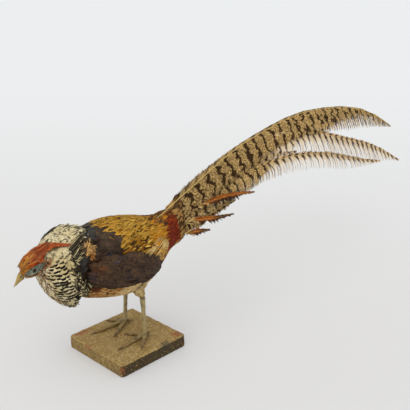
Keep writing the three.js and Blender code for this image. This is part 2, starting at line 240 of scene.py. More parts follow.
def addPiece(name, points, quads, material, values=None, uv=None, smooth=True):
    mesh = bpy.data.meshes.new(name)
    points = np.asarray(points, np.float64).reshape(-1, 3) * mm
    quads = np.asarray(quads, np.int32)
    mesh.vertices.add(len(points))
    mesh.vertices.foreach_set("co", points.astype(np.float32).ravel())
    mesh.loops.add(quads.size)
    mesh.loops.foreach_set("vertex_index", quads.ravel())
    mesh.polygons.add(len(quads))
    mesh.polygons.foreach_set("loop_start", np.arange(0, quads.size, quads.shape[1], dtype=np.int32))
    if smooth:
        mesh.polygons.foreach_set("use_smooth", np.ones(len(quads), bool))
    mesh.update(calc_edges=True)
    for key, array in (values or {}).items():
        layer = mesh.attributes.new(key, "FLOAT_COLOR", "POINT")
        layer.data.foreach_set("color", np.asarray(array, np.float32).ravel())
    if uv is not None:
        layer = mesh.uv_layers.new(name="OFBake")
        layer.data.foreach_set("uv", np.asarray(uv, np.float32)[quads.ravel()].ravel())
    mesh.validate(clean_customdata=False)
    piece = bpy.data.objects.new(name, mesh)
    bpy.context.scene.collection.objects.link(piece)
    piece.data.materials.append(material)
    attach(piece, "root")
    return piece


def treeOf(nodes, grow=0.0):
    points, faces = [], []
    for name in nodes:
        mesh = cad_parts[name].data
        base = len(points)
        points += [(v.co + v.normal * grow * mm) / mm for v in mesh.vertices]
        faces += [[base + i for i in p.vertices] for p in mesh.polygons]
    return BVHTree.FromPolygons(points, faces), points, faces


def nearest(tree, points):
    found, normals = np.array(points, float), np.zeros((len(points), 3))
    for i, p in enumerate(points):
        place, normal, _, _ = tree.find_nearest(Vector(p))
        if place is not None:
            found[i], normals[i] = place, normal
    return found, normals


def cast(tree, starts, ways):
    found, normals = np.full((len(starts), 3), np.nan), np.zeros((len(starts), 3))
    for i, (a, d) in enumerate(zip(starts, ways)):
        place, normal, _, _ = tree.ray_cast(Vector(a), Vector(d))
        if place is not None:
            found[i] = place
            normals[i] = normal if Vector(normal).dot(Vector(d)) < 0 else -normal
    return found, normals


# ---- feathers as vanes: a curved leaf on a bent shaft, many at once ----
def outlineShare(s, blunt):  # blunt 1 is a round end, 0 a sharp one
    rise = np.clip(s / 0.3, 0, 1) ** 0.6
    power = 1.15 + 1.1 * blunt
    fall = (1 - np.clip((s - 0.35) / 0.65, 0, 1) ** power) ** (1 / power)
    return rise * fall


def vanes(root, middle, tip, normalRoot, normalTip, width, blunt=1.0, rows=6, columns=5, arch=0.15, sweep=0.5, ragged=0.1, start=0.25):
    count = len(root)
    s = 1 - (1 - np.linspace(0, 1, rows + 1)) ** 1.3
    t = np.linspace(-1, 1, columns)
    k = s[None, :, None]
    line = (1 - k) ** 2 * root[:, None] + 2 * k * (1 - k) * middle[:, None] + k**2 * tip[:, None]
    ahead = unit(2 * (1 - k) * (middle - root)[:, None] + 2 * k * (tip - middle)[:, None])
    up = (1 - k) * normalRoot[:, None] + k * normalTip[:, None]
    up = unit(up - (up * ahead).sum(-1, keepdims=True) * ahead)
    side = np.cross(ahead, up)
    share = np.maximum(outlineShare(s, blunt), 0.04)
    share[0] = start
    half = np.asarray(width)[:, None] * 0.5 * share[None, :]
    torn = 1 + ragged * rng.uniform(-1, 1, (count, rows + 1, columns)) * (np.abs(t) > 0.4)
    reach = half[:, :, None] * torn
    points = (
        line[:, :, None]
        + side[:, :, None] * (reach * t)[..., None]
        + ahead[:, :, None] * (sweep * reach * np.abs(t) ** 1.3)[..., None]
        - up[:, :, None] * (arch * reach * t**2)[..., None]
    )
    seed = rng.random(count)
    place = np.ones((count, rows + 1, columns, 4))
    place[..., 0] = s[None, :, None]
    place[..., 1] = (t[None, None, :] + 1) / 2
    place[..., 2] = seed[:, None, None]
    r, c = np.meshgrid(np.arange(rows), np.arange(columns - 1), indexing="ij")
    corner = (r * columns + c).ravel()
    quad = np.stack([corner, corner + 1, corner + 1 + columns, corner + columns], 1)
    quads = (np.arange(count)[:, None, None] * (rows + 1) * columns + quad[None]).reshape(-1, 4)
    return points.reshape(-1, 3), quads, place.reshape(-1, 4), (s, t)


def patchMap(centre, size, s, t):  # each vane's patch on the unwrapped skin
    u = centre[:, 0, None, None] + (t[None, None, :] * 0.5) * size[0]
    v = centre[:, 1, None, None] + (s[None, :, None] - 0.5) * size[1]
    return np.clip(np.stack(np.broadcast_arrays(u, v), -1), 0, 1).reshape(-1, 2)


def spreadLook(look, count, perVane):
    full = np.ones((count, 4))
    for i, value in enumerate(look):
        full[:, i] = value
    return np.repeat(full, perVane, 0)


def layDown(tree, root, normal, ahead, length, lift, height, cling=1.0):  # bends each vane over the body it lies on
    ahead = unit(ahead - (ahead * normal).sum(-1, keepdims=True) * normal)
    length, lift, height = (np.broadcast_to(np.asarray(x, float), len(root))[:, None] for x in (length, lift, height))
    free = root + ahead * length + normal * (lift * length * 1.2)
    found, over = nearest(tree, root + ahead * length)
    over = np.where((over * normal).sum(-1, keepdims=True) < -0.2, -over, over)
    tip = free * (1 - cling) + (found + over * height) * cling
    middle = (root + tip) / 2 + normal * lift * length + normal * height * 0.3
    return middle, tip, unit(normal * (1 - cling) + over * cling)


def coatPiece(name, tree, root, normal, ahead, length, width, look, colour, centre, material, lift=0.08, height=1.6, patch=(0.012, 0.012), cling=1.0, steep=0.3, **shape):
    middle, tip, over = layDown(tree, root, normal, ahead, length, lift, height, cling)
    width = np.broadcast_to(np.asarray(width, float), len(root))
    fits = (over * normal).sum(-1) > steep  # the rest would stand up off a step in the body
    root, middle, tip, normal, over, width, colour, centre = (part[fits] for part in (root, middle, tip, normal, over, width, colour, centre))
    look = [np.broadcast_to(np.asarray(part, float), len(fits))[fits] for part in look]
    points, quads, place, (s, t) = vanes(root, middle, tip, normal, over, width, **shape)
    per = len(s) * len(t)
    values = {"vane": place, "look": spreadLook(look, len(root), per), "dye": np.repeat(dyed(colour), per, 0)}
    return addPiece(name, points, quads, material, values, patchMap(centre, patch, s, t))


def ringRoots(tree, centres, across, over, gap, low=-180.0, high=180.0, far=160.0, turns=90):
    # rows of feather roots round a body: each ring is cast inwards to the middle line's points
    angle = np.radians(np.linspace(low, high, turns + 1))[:, None]
    ways = np.sin(angle) * np.array(across) + np.cos(angle) * np.array(over)  # 0 is up, 90 the bird's right
    roots, normals, maps = [], [], []
    for i, centre in enumerate(np.asarray(centres, float)):
        found, normal = cast(tree, centre + ways * far, -ways)
        good = ~np.isnan(found[:, 0])
        if good.sum() < 4:
            continue
        found, normal, at = found[good], normal[good], angle[good, 0]
        run = np.concatenate([[0], np.cumsum(np.linalg.norm(np.diff(found, axis=0), axis=1))])
        count = max(3, int(run[-1] / gap))
        want = (np.arange(count) + 0.5 * (i % 2) + rng.uniform(-0.3, 0.3, count)) / count * run[-1]
        want = np.clip(want, 0, run[-1] - 1e-3)
        roots.append(np.stack([np.interp(want, run, found[:, k]) for k in range(3)], 1))
        normals.append(unit(np.stack([np.interp(want, run, normal[:, k]) for k in range(3)], 1)))
        turn = (np.interp(want, run, at) - math.radians(low)) / math.radians(high - low)
        maps.append(np.stack([0.01 + 0.98 * turn, np.full(count, 0.01 + 0.97 * i / len(centres))], 1))
    return np.concatenate(roots), np.concatenate(normals), np.concatenate(maps)


def near(p, centre, radii):  # 1 at the centre of a soft blob, 0 outside it
    d = np.sqrt((((p - np.array(centre)) / np.array(radii)) ** 2).sum(-1))
    return np.clip(1.6 - 1.3 * d, 0, 1)


def rowCurve(rows):  # a smooth curve through rows of numbers, by their first
    rows = np.asarray(rows, float)
    x = rows[:, 0]
    slope = np.gradient(rows[:, 1:], x, axis=0)

    def at(q):
        q = np.clip(np.atleast_1d(np.asarray(q, float)), x[0], x[-1])
        i = np.clip(np.searchsorted(x, q) - 1, 0, len(x) - 2)
        h = (x[i + 1] - x[i])[:, None]
        t = (q - x[i])[:, None] / h
        a, b = rows[i, 1:], rows[i + 1, 1:]
        return (2 * t**3 - 3 * t**2 + 1) * a + (t**3 - 2 * t**2 + t) * h * slope[i] + (3 * t**2 - 2 * t**3) * b + (t**3 - t**2) * h * slope[i + 1]
    return at


def tubeMesh(path, radii, sides=12, flatten=1.0, knob=None, up=(0, 0, 1)):  # rings round a path, closed at both ends
    path, radii = np.asarray(path, float), np.asarray(radii, float)
    ahead = unit(np.gradient(path, axis=0))
    side = unit(np.cross(ahead, np.array(up, float) + 1e-4))
    over = np.cross(side, ahead)
    angle = np.linspace(0, 2 * np.pi, sides, endpoint=False)
    share = np.ones((len(path), sides)) if knob is None else knob(np.linspace(0, 1, len(path))[:, None], angle[None, :])
    ring = side[:, None] * np.cos(angle)[None, :, None] + over[:, None] * (np.sin(angle) * flatten)[None, :, None]
    points = path[:, None] + ring * (radii[:, None] * share)[..., None]
    points = np.concatenate([points.reshape(-1, 3), path[[0, -1]]])
    r, c = np.meshgrid(np.arange(len(path) - 1), np.arange(sides), indexing="ij")
    a, b = (r * sides + c).ravel(), (r * sides + (c + 1) % sides).ravel()
    quads = np.stack([a, b, b + sides, a + sides], 1)
    last = (len(path) - 1) * sides
    i = np.arange(sides)
    first = np.stack([i, np.full(sides, len(path) * sides), np.full(sides, len(path) * sides), (i + 1) % sides], 1)
    final = np.stack([last + (i + 1) % sides, np.full(sides, len(path) * sides + 1), np.full(sides, len(path) * sides + 1), last + i], 1)
    return points, quads, first[:, [0, 1, 3]][:, ::-1], final[:, [0, 1, 3]][:, ::-1]


def joined(parts):  # several (points, faces) lists as one
    points, faces, base = [], [], 0
    for p, *groupsOfFaces in parts:
        points.append(np.asarray(p, float))
        for f in groupsOfFaces:
            faces += (np.asarray(f) + base).tolist()
        base += len(p)
    return np.concatenate(points), faces


def addSolid(name, points, faces, material, smooth=True):
    mesh = bpy.data.meshes.new(name)
    mesh.from_pydata((np.asarray(points) * mm).tolist(), [], [list(f) for f in faces])
    mesh.validate()
    mesh.polygons.foreach_set("use_smooth", np.full(len(mesh.polygons), smooth))
    piece = bpy.data.objects.new(name, mesh)
    bpy.context.scene.collection.objects.link(piece)
    piece.data.materials.append(material)
    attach(piece, "root")
    return piece


def dye(r, g, b):  # a colour by the usual 0 to 255 numbers
    return tuple((c / 255 / 12.92) if c < 10.3 else ((c / 255 + 0.055) / 1.055) ** 2.4 for c in (r, g, b))


# ---- room ----
def makeRoom():
    scene = bpy.context.scene
    scene.view_settings.view_transform = "Standard"
    world = bpy.data.worlds.new("studioAir")
    scene.world = world
    world.use_nodes = True
    back = world.node_tree.nodes["Background"]
    back.inputs["Color"].default_value = (*room["air"], 1)
    back.inputs["Strength"].default_value = room["airStrength"]
    material, tree, shader = startMaterial("paleFloor", 0.85)
    away = node(tree, "ShaderNodeVectorMath", operation="DOT_PRODUCT")
    tree.links.new(objectPlace(tree), away.inputs[0])
    away.inputs[1].default_value = (0.72, 0.69, 0.0)
    # painted light: the floor is painted lighter away from the camera, and it glows with this colour
    floorWithPaintedFalloff = blendColour(tree, fade(tree, away.outputs["Value"], -0.3, 2.6), room["floor"], room["floorFarPaintedLighter"])
    feed(tree, shader.inputs["Base Color"], floorWithPaintedFalloff)
    feed(tree, shader.inputs["Emission Color"], floorWithPaintedFalloff)
    shader.inputs["Emission Strength"].default_value = room["glow"]
    mesh = bpy.data.meshes.new("paleFloor")
    far = 22.0
    mesh.from_pydata([(-far, -far, 0), (far, -far, 0), (far, far, 0), (-far, far, 0)], [], [(0, 1, 2, 3)])
    floor = bpy.data.objects.new("paleFloor", mesh)
    bpy.context.scene.collection.objects.link(floor)
    floor.data.materials.append(material)
    for name, way, power, spread in (("keySun", (0.62, 0.22, -0.78), room["key"], 70), ("fillSun", (-0.25, 0.75, -0.55), room["fill"], 80)):
        data = bpy.data.lights.new(name, "SUN")
        data.energy, data.angle = power, math.radians(spread)
        lamp = bpy.data.objects.new(name, data)
        lamp.rotation_euler = Vector(way).to_track_quat("-Z", "Y").to_euler()
        scene.collection.objects.link(lamp)


# ---- colours of the plumage, shared by the skin and the coat ----
plumage = {
    "gold": dye(204, 148, 38), "goldPale": dye(222, 176, 74), "goldDeep": dye(158, 102, 22), "rump": dye(212, 138, 22),
    "mantle": dye(62, 45, 34), "mantleGreen": dye(40, 48, 50), "violetSheen": dye(54, 50, 76), "tailCovert": dye(182, 138, 76),
    "shoulder": dye(244, 194, 120), "shoulderLow": dye(188, 112, 44),
    "flank": dye(198, 150, 80), "belly": dye(176, 122, 62), "bellyPale": dye(228, 196, 142), "chestnut": dye(92, 46, 20),
    "thigh": dye(218, 184, 122), "band": dye(112, 28, 6), "bandBright": dye(156, 62, 18), "tailBrown": dye(84, 56, 26),
    "cream": dye(206, 188, 138), "creamWhite": dye(222, 208, 168), "creamOlive": dye(182, 158, 102),
    "crown": dye(188, 76, 20), "crownDark": dye(104, 36, 10), "forehead": dye(212, 138, 44), "bare": dye(118, 126, 108),
    "ear": dye(140, 74, 24), "cheek": dye(198, 150, 88), "throat": dye(164, 112, 62),
}
headPlace, headDip = np.array([-176.0, 0.0, 214.0]), math.radians(26)
eyePlace = {"along": 6.5, "above": 1.0, "out": 10.0, "radius": 4.4}


def headCoordinates(p):  # forward, sideways and up from the middle of the head
    q = p - headPlace
    c, s = math.cos(headDip), math.sin(headDip)
    return -q[:, 0] * c - q[:, 2] * s, q[:, 1], -q[:, 0] * s + q[:, 2] * c


def headPoint(t, y, u):
    c, s = math.cos(headDip), math.sin(headDip)
    return np.stack(np.broadcast_arrays(headPlace[0] - t * c - u * s, y, headPlace[2] - t * s + u * c), -1)


def bareShare(p):  # 1 on the naked skin round the eye
    t, y, u = headCoordinates(p)
    r = np.sqrt(((t - 4.6) / 15.4) ** 2 + ((u + 0.5 - 0.06 * (t - 4)) / 6.9) ** 2)
    return np.clip((1.12 - r) * 6, 0, 1) * (np.abs(y) > 3.5)


def mixIn(base, colour, share):
    return base + (np.array(colour) - base) * np.clip(share, 0, 1)[:, None]


def wobble(p, size, seed):  # smooth made-up variation over the body, -1 to 1
    q = p / size + seed * 7.3
    return np.sin(q[:, 0] * 1.7 + 1.3 * np.sin(q[:, 2] * 1.1 + seed)) * np.cos(q[:, 2] * 1.9 + np.sin(q[:, 1] * 1.3 + seed * 2.1))


def ruffEdge(p):  # how far back the cape reaches, by height; it is notched behind the crest
    return np.interp(p[:, 2], [142, 160, 172, 187, 209, 222, 234, 246, 252], [-128, -114, -109, -118, -132, -134, -131, -108, -84])


def bandEnd(p):  # where the red feathers' roots end and the tail coverts' begin
    return np.interp(p[:, 2], [176, 185, 200, 213, 225, 232], [101, 105, 106, 100, 96, 91])


def regionOf(p):  # the kinds of feather on the trunk, by place
    x, z, side = p[:, 0], p[:, 2], np.abs(p[:, 1])
    w = 3 * wobble(p, 15, 1)
    border = np.interp(z, [204, 210, 232, 240, 250], [-54, -45, -44, -67, -68]) + w + 4 * wobble(p, 5, 11)
    upperEdge = np.interp(x, [-70, -47, -31, -2, 40, 70], [206, 204, 201, 196, 184, 176])
    band = (x > np.interp(z, [168, 176, 194, 207, 213, 225], [54, 56, 59, 62, 72, 80]) + 0.8 * w) & (x < bandEnd(p)) & (z > 170) & (z < 234)
    top = (x > 30 + w) & (z > 229 - (x - 30) * 0.52)
    gold = (x > border) & (x < 80) & (z > upperEdge - 2) & ~band & ~top
    dark = (x <= border) & (z > 178)
    patch = dark & (x > -122 + w) & (x < -94 + w) & (z < 241 + w) & (z > 215 + w) & (side > 18)
    low = ~(gold | dark | band | top)
    return {"gold": gold, "dark": dark & ~patch, "patch": patch, "low": low, "band": band, "top": top & ~band}


def bodyColour(p):  # where each colour of the trunk lies, in millimetres of the row's frame
    side, x, z = np.abs(p[:, 1]), p[:, 0], p[:, 2]
    flat = p * [1, 0, 1]
    w = wobble(p, 14, 1)
    base = mixIn(np.tile(np.array(plumage["gold"]), (len(p), 1)), plumage["goldPale"], 0.25 + 0.5 * w)
    base = mixIn(base, plumage["goldDeep"], 0.30 + 0.6 * wobble(p, 9, 3))
    base = mixIn(base, plumage["rump"], near(flat, (40, 0, 204), (34, 1, 18)) * 1.2)
    kinds = regionOf(p)
    base = mixIn(base, plumage["mantle"], kinds["dark"] * 1.0)
    # painted sheen: a blue-violet patch on the dark mantle
    base = mixIn(base, plumage["violetSheen"], kinds["dark"] * near(flat, (-80, 0, 210), (9, 1, 6)) * 0.8)
    base = mixIn(base, plumage["mantleGreen"], kinds["dark"] * np.clip((x < -84) * (z > 244) + near(flat, (-121, 0, 214), (11, 1, 13)), 0, 1) * 0.9)
    base = mixIn(base, dye(96, 56, 28), kinds["dark"] * near(flat, (-104, 0, 203), (16, 1, 9)) * 0.6)
    base = mixIn(base, plumage["shoulder"], kinds["patch"] * 1.0)
    base = mixIn(base, plumage["shoulderLow"], kinds["patch"] * np.clip((229 - z) / 9, 0, 1) + kinds["patch"] * np.clip((x + 104) / 6, 0, 1) * 0.7)
    pale = np.clip((x - (4 + 0.5 * (214 - z))) / 10, 0, 1) * (z < 192 + 2 * w) * (z > 150)
    base = mixIn(base, plumage["flank"], pale)
    low = kinds["low"] * np.clip((np.interp(x, [0, 30], [190, 160]) + 2.5 * w - z) / 5, 0, 1)
    base = mixIn(base, plumage["belly"], low)
    base = mixIn(base, plumage["chestnut"], low * (0.42 + 0.75 * wobble(p, 7, 5) + 0.5 * np.clip((z - 158) / 7, 0, 1)) * np.clip((4 - x) / 30, 0.15, 1))
    base = mixIn(base, plumage["bellyPale"], low * np.clip((np.interp(x, [-90, -55, -40, 0], [138, 136, 154, 159]) - z) / 7 + 0.3 * w, 0, 1))
    base = mixIn(base, plumage["flank"], (x >= 52) * (z < 176) * 0.8)
    base = mixIn(base, plumage["mantle"], (low > 0) * (x > 8) * np.clip((172 - z) / 4, 0, 1) * np.clip((z - 136) / 5, 0, 1) * (side > 18))
    base = mixIn(base, plumage["band"], kinds["band"] * 1.0)
    return mixIn(base, plumage["tailCovert"], (kinds["top"] | (x > bandEnd(p) - 2)) * 1.0)


def headColour(p, naked=True):
    t, y, u = headCoordinates(p)
    w = wobble(p, 4, 2)
    base = np.tile(np.array(plumage["cheek"]), (len(p), 1))
    base = mixIn(base, plumage["throat"], np.clip((-5 - u) / 4, 0, 1))
    base = mixIn(base, plumage["chestnut"], (u < -7) * (0.5 + 0.6 * w) * 0.6)
    base = mixIn(base, plumage["ear"], near(np.stack([t, u * 0, u], 1), (-11, 0, -1), (6.5, 1, 6.0)))
    top = np.clip((u - (5.5 + 0.10 * (t - 4))) / 1.6, 0, 1)
    base = mixIn(base, plumage["crown"], top)
    base = mixIn(base, plumage["crownDark"], top * (0.3 + 0.6 * wobble(p, 5, 4)))
    base = mixIn(base, plumage["forehead"], np.clip((t - 15) / 3, 0, 1) * (u > -1))
    return mixIn(base, plumage["bare"], bareShare(p) * naked)


def ruffColour(p):
    w = wobble(p, 9, 6)
    base = np.tile(np.array(plumage["cream"]), (len(p), 1))
    base = mixIn(base, plumage["creamWhite"], 0.4 + 0.6 * w)
    base = mixIn(base, plumage["creamOlive"], 0.15 + 0.5 * wobble(p, 16, 8))
    # painted shade and light: the cape is scaled darker low down and lighter near its top
    return base * np.interp(p[:, 2], [170, 215, 245], [0.84, 1.0, 1.12])[:, None]


def dyed(colours, spread=0.08):  # each feather a little lighter or darker than the next
    made = colours * (1 + spread * rng.normal(size=(len(colours), 1)))
    return np.concatenate([np.clip(made, 0.002, 0.95), np.ones((len(made), 1))], 1)


def plumageMaterial(name, bar, roughness=0.72, lines=12.0, grain=0.35, relief=0.25, dust=0.10, shine=0.12, hem=0.0):
    # dyed by the feather's own colour, with bars near the tip, stripes along it and flecks, and painted shade towards
    # the root
    material, tree, shader = startMaterial(name, roughness, **{"Specular IOR Level": shine})
    v = vaneValues(tree)
    dyeNode = node(tree, "ShaderNodeAttribute", attribute_type="GEOMETRY", attribute_name="dye")
    barbs = useGroup(tree, groups["barbGrain"], Along=v["along"], Across=v["across"], Seed=v["seed"], Lines=lines)
    far = barbs.outputs["FromShaft"]
    rim = calc(tree, "ADD", v["along"], calc(tree, "MULTIPLY", calc(tree, "POWER", far, 2.2), 0.16))
    rim = calc(tree, "ADD", rim, calc(tree, "MULTIPLY", calc(tree, "SUBTRACT", barbs.outputs["Shade"], 0.5), 0.05))
    edge = fade(tree, rim, 0.705, 0.745)
    inner = calc(tree, "MULTIPLY", fade(tree, rim, 0.50, 0.55), fade(tree, rim, 0.66, 0.61))
    inner = calc(tree, "MULTIPLY", inner, fade(tree, v["tone"], 0.85, 0.95))
    stripes = calc(tree, "MULTIPLY", fade(tree, far, 0.34, 0.46), v["extra"])
    flecks = fade(tree, noise(tree, vector3(tree, calc(tree, "MULTIPLY", v["along"], 3.0), calc(tree, "MULTIPLY", v["across"], 2.4), calc(tree, "MULTIPLY", v["seed"], 61.0)), 1.6, 2.0), 0.57, 0.63)
    flecks = calc(tree, "MULTIPLY", flecks, calc(tree, "MULTIPLY", fade(tree, v["tone"], 0.2, 0.4), fade(tree, v["tone"], 0.62, 0.46)))
    gaps = noise(tree, vector3(tree, calc(tree, "MULTIPLY", v["across"], 3.2), calc(tree, "MULTIPLY", v["seed"], 83.0), 0.5), 1.0, 1.0)
    whole = calc(tree, "MAXIMUM", fade(tree, v["tone"], 0.35, 0.6), fade(tree, gaps, 0.46, 0.54))
    edge = calc(tree, "MULTIPLY", edge, whole)
    marks = calc(tree, "MULTIPLY", calc(tree, "ADD", calc(tree, "ADD", edge, inner), calc(tree, "MULTIPLY", flecks, 0.7), True), v["mark"])
    marks = calc(tree, "MAXIMUM", marks, stripes, True)
    shaded = blendColour(tree, calc(tree, "MULTIPLY", barbs.outputs["Shade"], grain), dyeNode.outputs["Color"], (0, 0, 0))
    # painted shade: each vane darkens towards its root, where the feathers ahead of it lie over it
    rootShaded = blendColour(tree, calc(tree, "MULTIPLY", fade(tree, v["along"], 0.45, 0.0), 0.45), shaded, (0.02, 0.015, 0.01))
    marked = blendColour(tree, marks, rootShaded, bar)
    if hem:  # worn paler at the rim and along the shaft
        worn = calc(tree, "MAXIMUM", fade(tree, rim, 0.90, 0.98), calc(tree, "MULTIPLY", fade(tree, far, 0.14, 0.04), 0.8))
        marked = blendColour(tree, calc(tree, "MULTIPLY", worn, calc(tree, "MULTIPLY", v["seed"], hem)), marked, dye(128, 96, 62))
    shed = useGroup(tree, groups["settledDust"], Color=marked, Amount=dust)
    feed(tree, shader.inputs["Base Color"], shed.outputs["Color"])
    feed(tree, shader.inputs["Normal"], bump(tree, barbs.outputs["Height"], relief, 0.0004))
    return material


# ---- what the coat grows on ----
def fineCopy(nodes, voxel, shrink=0.0, rounds=4, grow=0.0):  # the solids as one fine, smooth, closed mesh
    _, points, faces = treeOf(nodes, grow)
    mesh = bpy.data.meshes.new("rough")
    mesh.from_pydata([p * mm for p in points], [], faces)
    rough = bpy.data.objects.new("rough", mesh)
    bpy.context.scene.collection.objects.link(rough)
    remesh = rough.modifiers.new("even", "REMESH")
    remesh.mode, remesh.voxel_size = "VOXEL", voxel * mm
    soft = rough.modifiers.new("soft", "SMOOTH")
    soft.factor, soft.iterations = 0.5, rounds
    made = bpy.data.meshes.new_from_object(rough.evaluated_get(bpy.context.evaluated_depsgraph_get()))
    bpy.data.objects.remove(rough)
    count = len(made.vertices)
    at, out = np.zeros(count * 3), np.zeros(count * 3)
    made.vertices.foreach_get("co", at)
    made.vertices.foreach_get("normal", out)
    quads = np.zeros(len(made.polygons) * 4, np.int32)
    made.polygons.foreach_get("vertices", quads)
    return at.reshape(-1, 3) / mm - out.reshape(-1, 3) * shrink, out.reshape(-1, 3), quads.reshape(-1, 4)


def largestShell(points, normals, quads):  # drops the loose islands that a remesh can leave
    label = np.arange(len(points))
    while True:
        low = label[quads].min(1)
        new = label.copy()
        np.minimum.at(new, quads.ravel(), np.repeat(low, 4))
        new = new[new]
        if (new == label).all():
            break
        label = new
    best = np.bincount(label).argmax()
    keep = label == best
    index = np.cumsum(keep) - 1
    kept = quads[keep[quads].all(1)]
    return points[keep], normals[keep], index[kept]


def roughness3(points, size, seed):  # made-up unevenness at one size, -1 to 1
    q = points / size + seed
    return (np.sin(q[:, 0] * 3.1 + 2 * np.sin(q[:, 1] * 1.7)) + np.sin(q[:, 1] * 2.9 + 2 * np.sin(q[:, 2] * 1.3)) + np.sin(q[:, 2] * 3.3 + 2 * np.sin(q[:, 0] * 1.9))) / 3


def boxMap(points, normals):  # a plain unwrap for a fine copy: each point by the side it faces
    low, high = points.min(0), points.max(0)
    share = (points - low) / np.maximum(high - low, 1e-6)
    side = np.argmax(np.abs(normals), 1)
    cell = side * 2 + (np.take_along_axis(normals, side[:, None], 1)[:, 0] > 0)
    pick = np.array([[1, 2], [0, 2], [0, 1]])[side]
    flat = np.take_along_axis(share, pick, 1)
    corner = np.stack([cell % 3, cell // 3], 1)
    return (corner + 0.03 + 0.94 * flat) / np.array([3, 2])


# ---- the skin under the coat ----
skinSpec = {"voxel": 2.3, "depth": 2.2, "grow": 0.5, "rounds": 5}
flesh = ["head", "neck", "ruff", "trunk", "tail_root", "thigh_left", "thigh_right"]


def wholeColour(p):  # which part a point of the body is on, and its colour there
    t, y, u = headCoordinates(p)
    colours = bodyColour(p)
    cape = p[:, 0] < ruffEdge(p)
    colours = np.where(cape[:, None], ruffColour(p), colours)
    return np.where((t > -14)[:, None], headColour(p), colours)


def makeSkin():
    points, normals, quads = fineCopy(flesh, skinSpec["voxel"], skinSpec["depth"], skinSpec["rounds"], skinSpec["grow"])
    points, normals, quads = largestShell(points, normals, quads)
    material, tree, shader = startMaterial("driedSkin", 0.8)
    colour = node(tree, "ShaderNodeAttribute", attribute_type="GEOMETRY", attribute_name="dye").outputs["Color"]
    grain = noise(tree, stretched(tree, objectPlace(tree), (300, 900, 900)), 1.0, 4.0, 0.7)
    dark = blendColour(tree, calc(tree, "MULTIPLY", grain, 0.7), colour, (0.03, 0.02, 0.012))
    feed(tree, shader.inputs["Base Color"], dark)
    feed(tree, shader.inputs["Normal"], bump(tree, grain, 0.5, 0.0008))
    # painted shade: the skin shows the plumage's colour at 0.6, for the shaded depths between the feathers
    colours = np.concatenate([wholeColour(points) * 0.6, np.ones((len(points), 1))], 1)
    skin = addPiece("body_skin", points, quads, material, {"dye": colours}, boxMap(points, normals))
    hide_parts(*flesh)


# ---- the coat of the body ----
coatDepth = 1.8  # the roots lie this far inside the solids' faces
coats = {
    "back": {"rowGap": 2.9, "gap": 3.4, "length": 18, "width": 3.8},
    "mantle": {"rowGap": 4.6, "gap": 5.6, "length": 20, "width": 9.0, "stray": 0.22},
    "belly": {"rowGap": 3.2, "gap": 3.2, "length": 12, "width": 2.9},
}


def trunkMiddle(x):  # height of the middle of the trunk
    return np.interp(x, [-126, -98, -40, 20, 70, 96, 128], [197, 190, 183, 176, 184, 195, 212])


def scatter(name, tree, roots, normals, maps, keep, material, spec, ahead, colourOf, look, **more):
    p, n, m = roots[keep], normals[keep], maps[keep]
    count = len(p)
    length = spec["length"] * (1 + 0.16 * rng.normal(size=count))
    width = spec["width"] * (1 + 0.12 * rng.normal(size=count))
    ways = ahead(p) + spec.get("stray", 0.12) * rng.normal(size=(count, 3))
    return coatPiece(name, tree, p, n, ways, length, width, look(p), colourOf(p), m, material, **more)


def backward(p):
    x, z = p[:, 0], p[:, 2]
    drop = np.clip((200 - z) / 90, -0.25, 0.35)
    rise = np.clip((x - 60) / 60, 0, 1) * 0.55
    return np.stack([np.ones(len(p)), 0.05 * np.sign(p[:, 1]) * (z > 230), rise - drop * (x < 60)], 1)


def softLook(p):
    return rng.random(len(p)), np.zeros(len(p)), np.zeros(len(p))


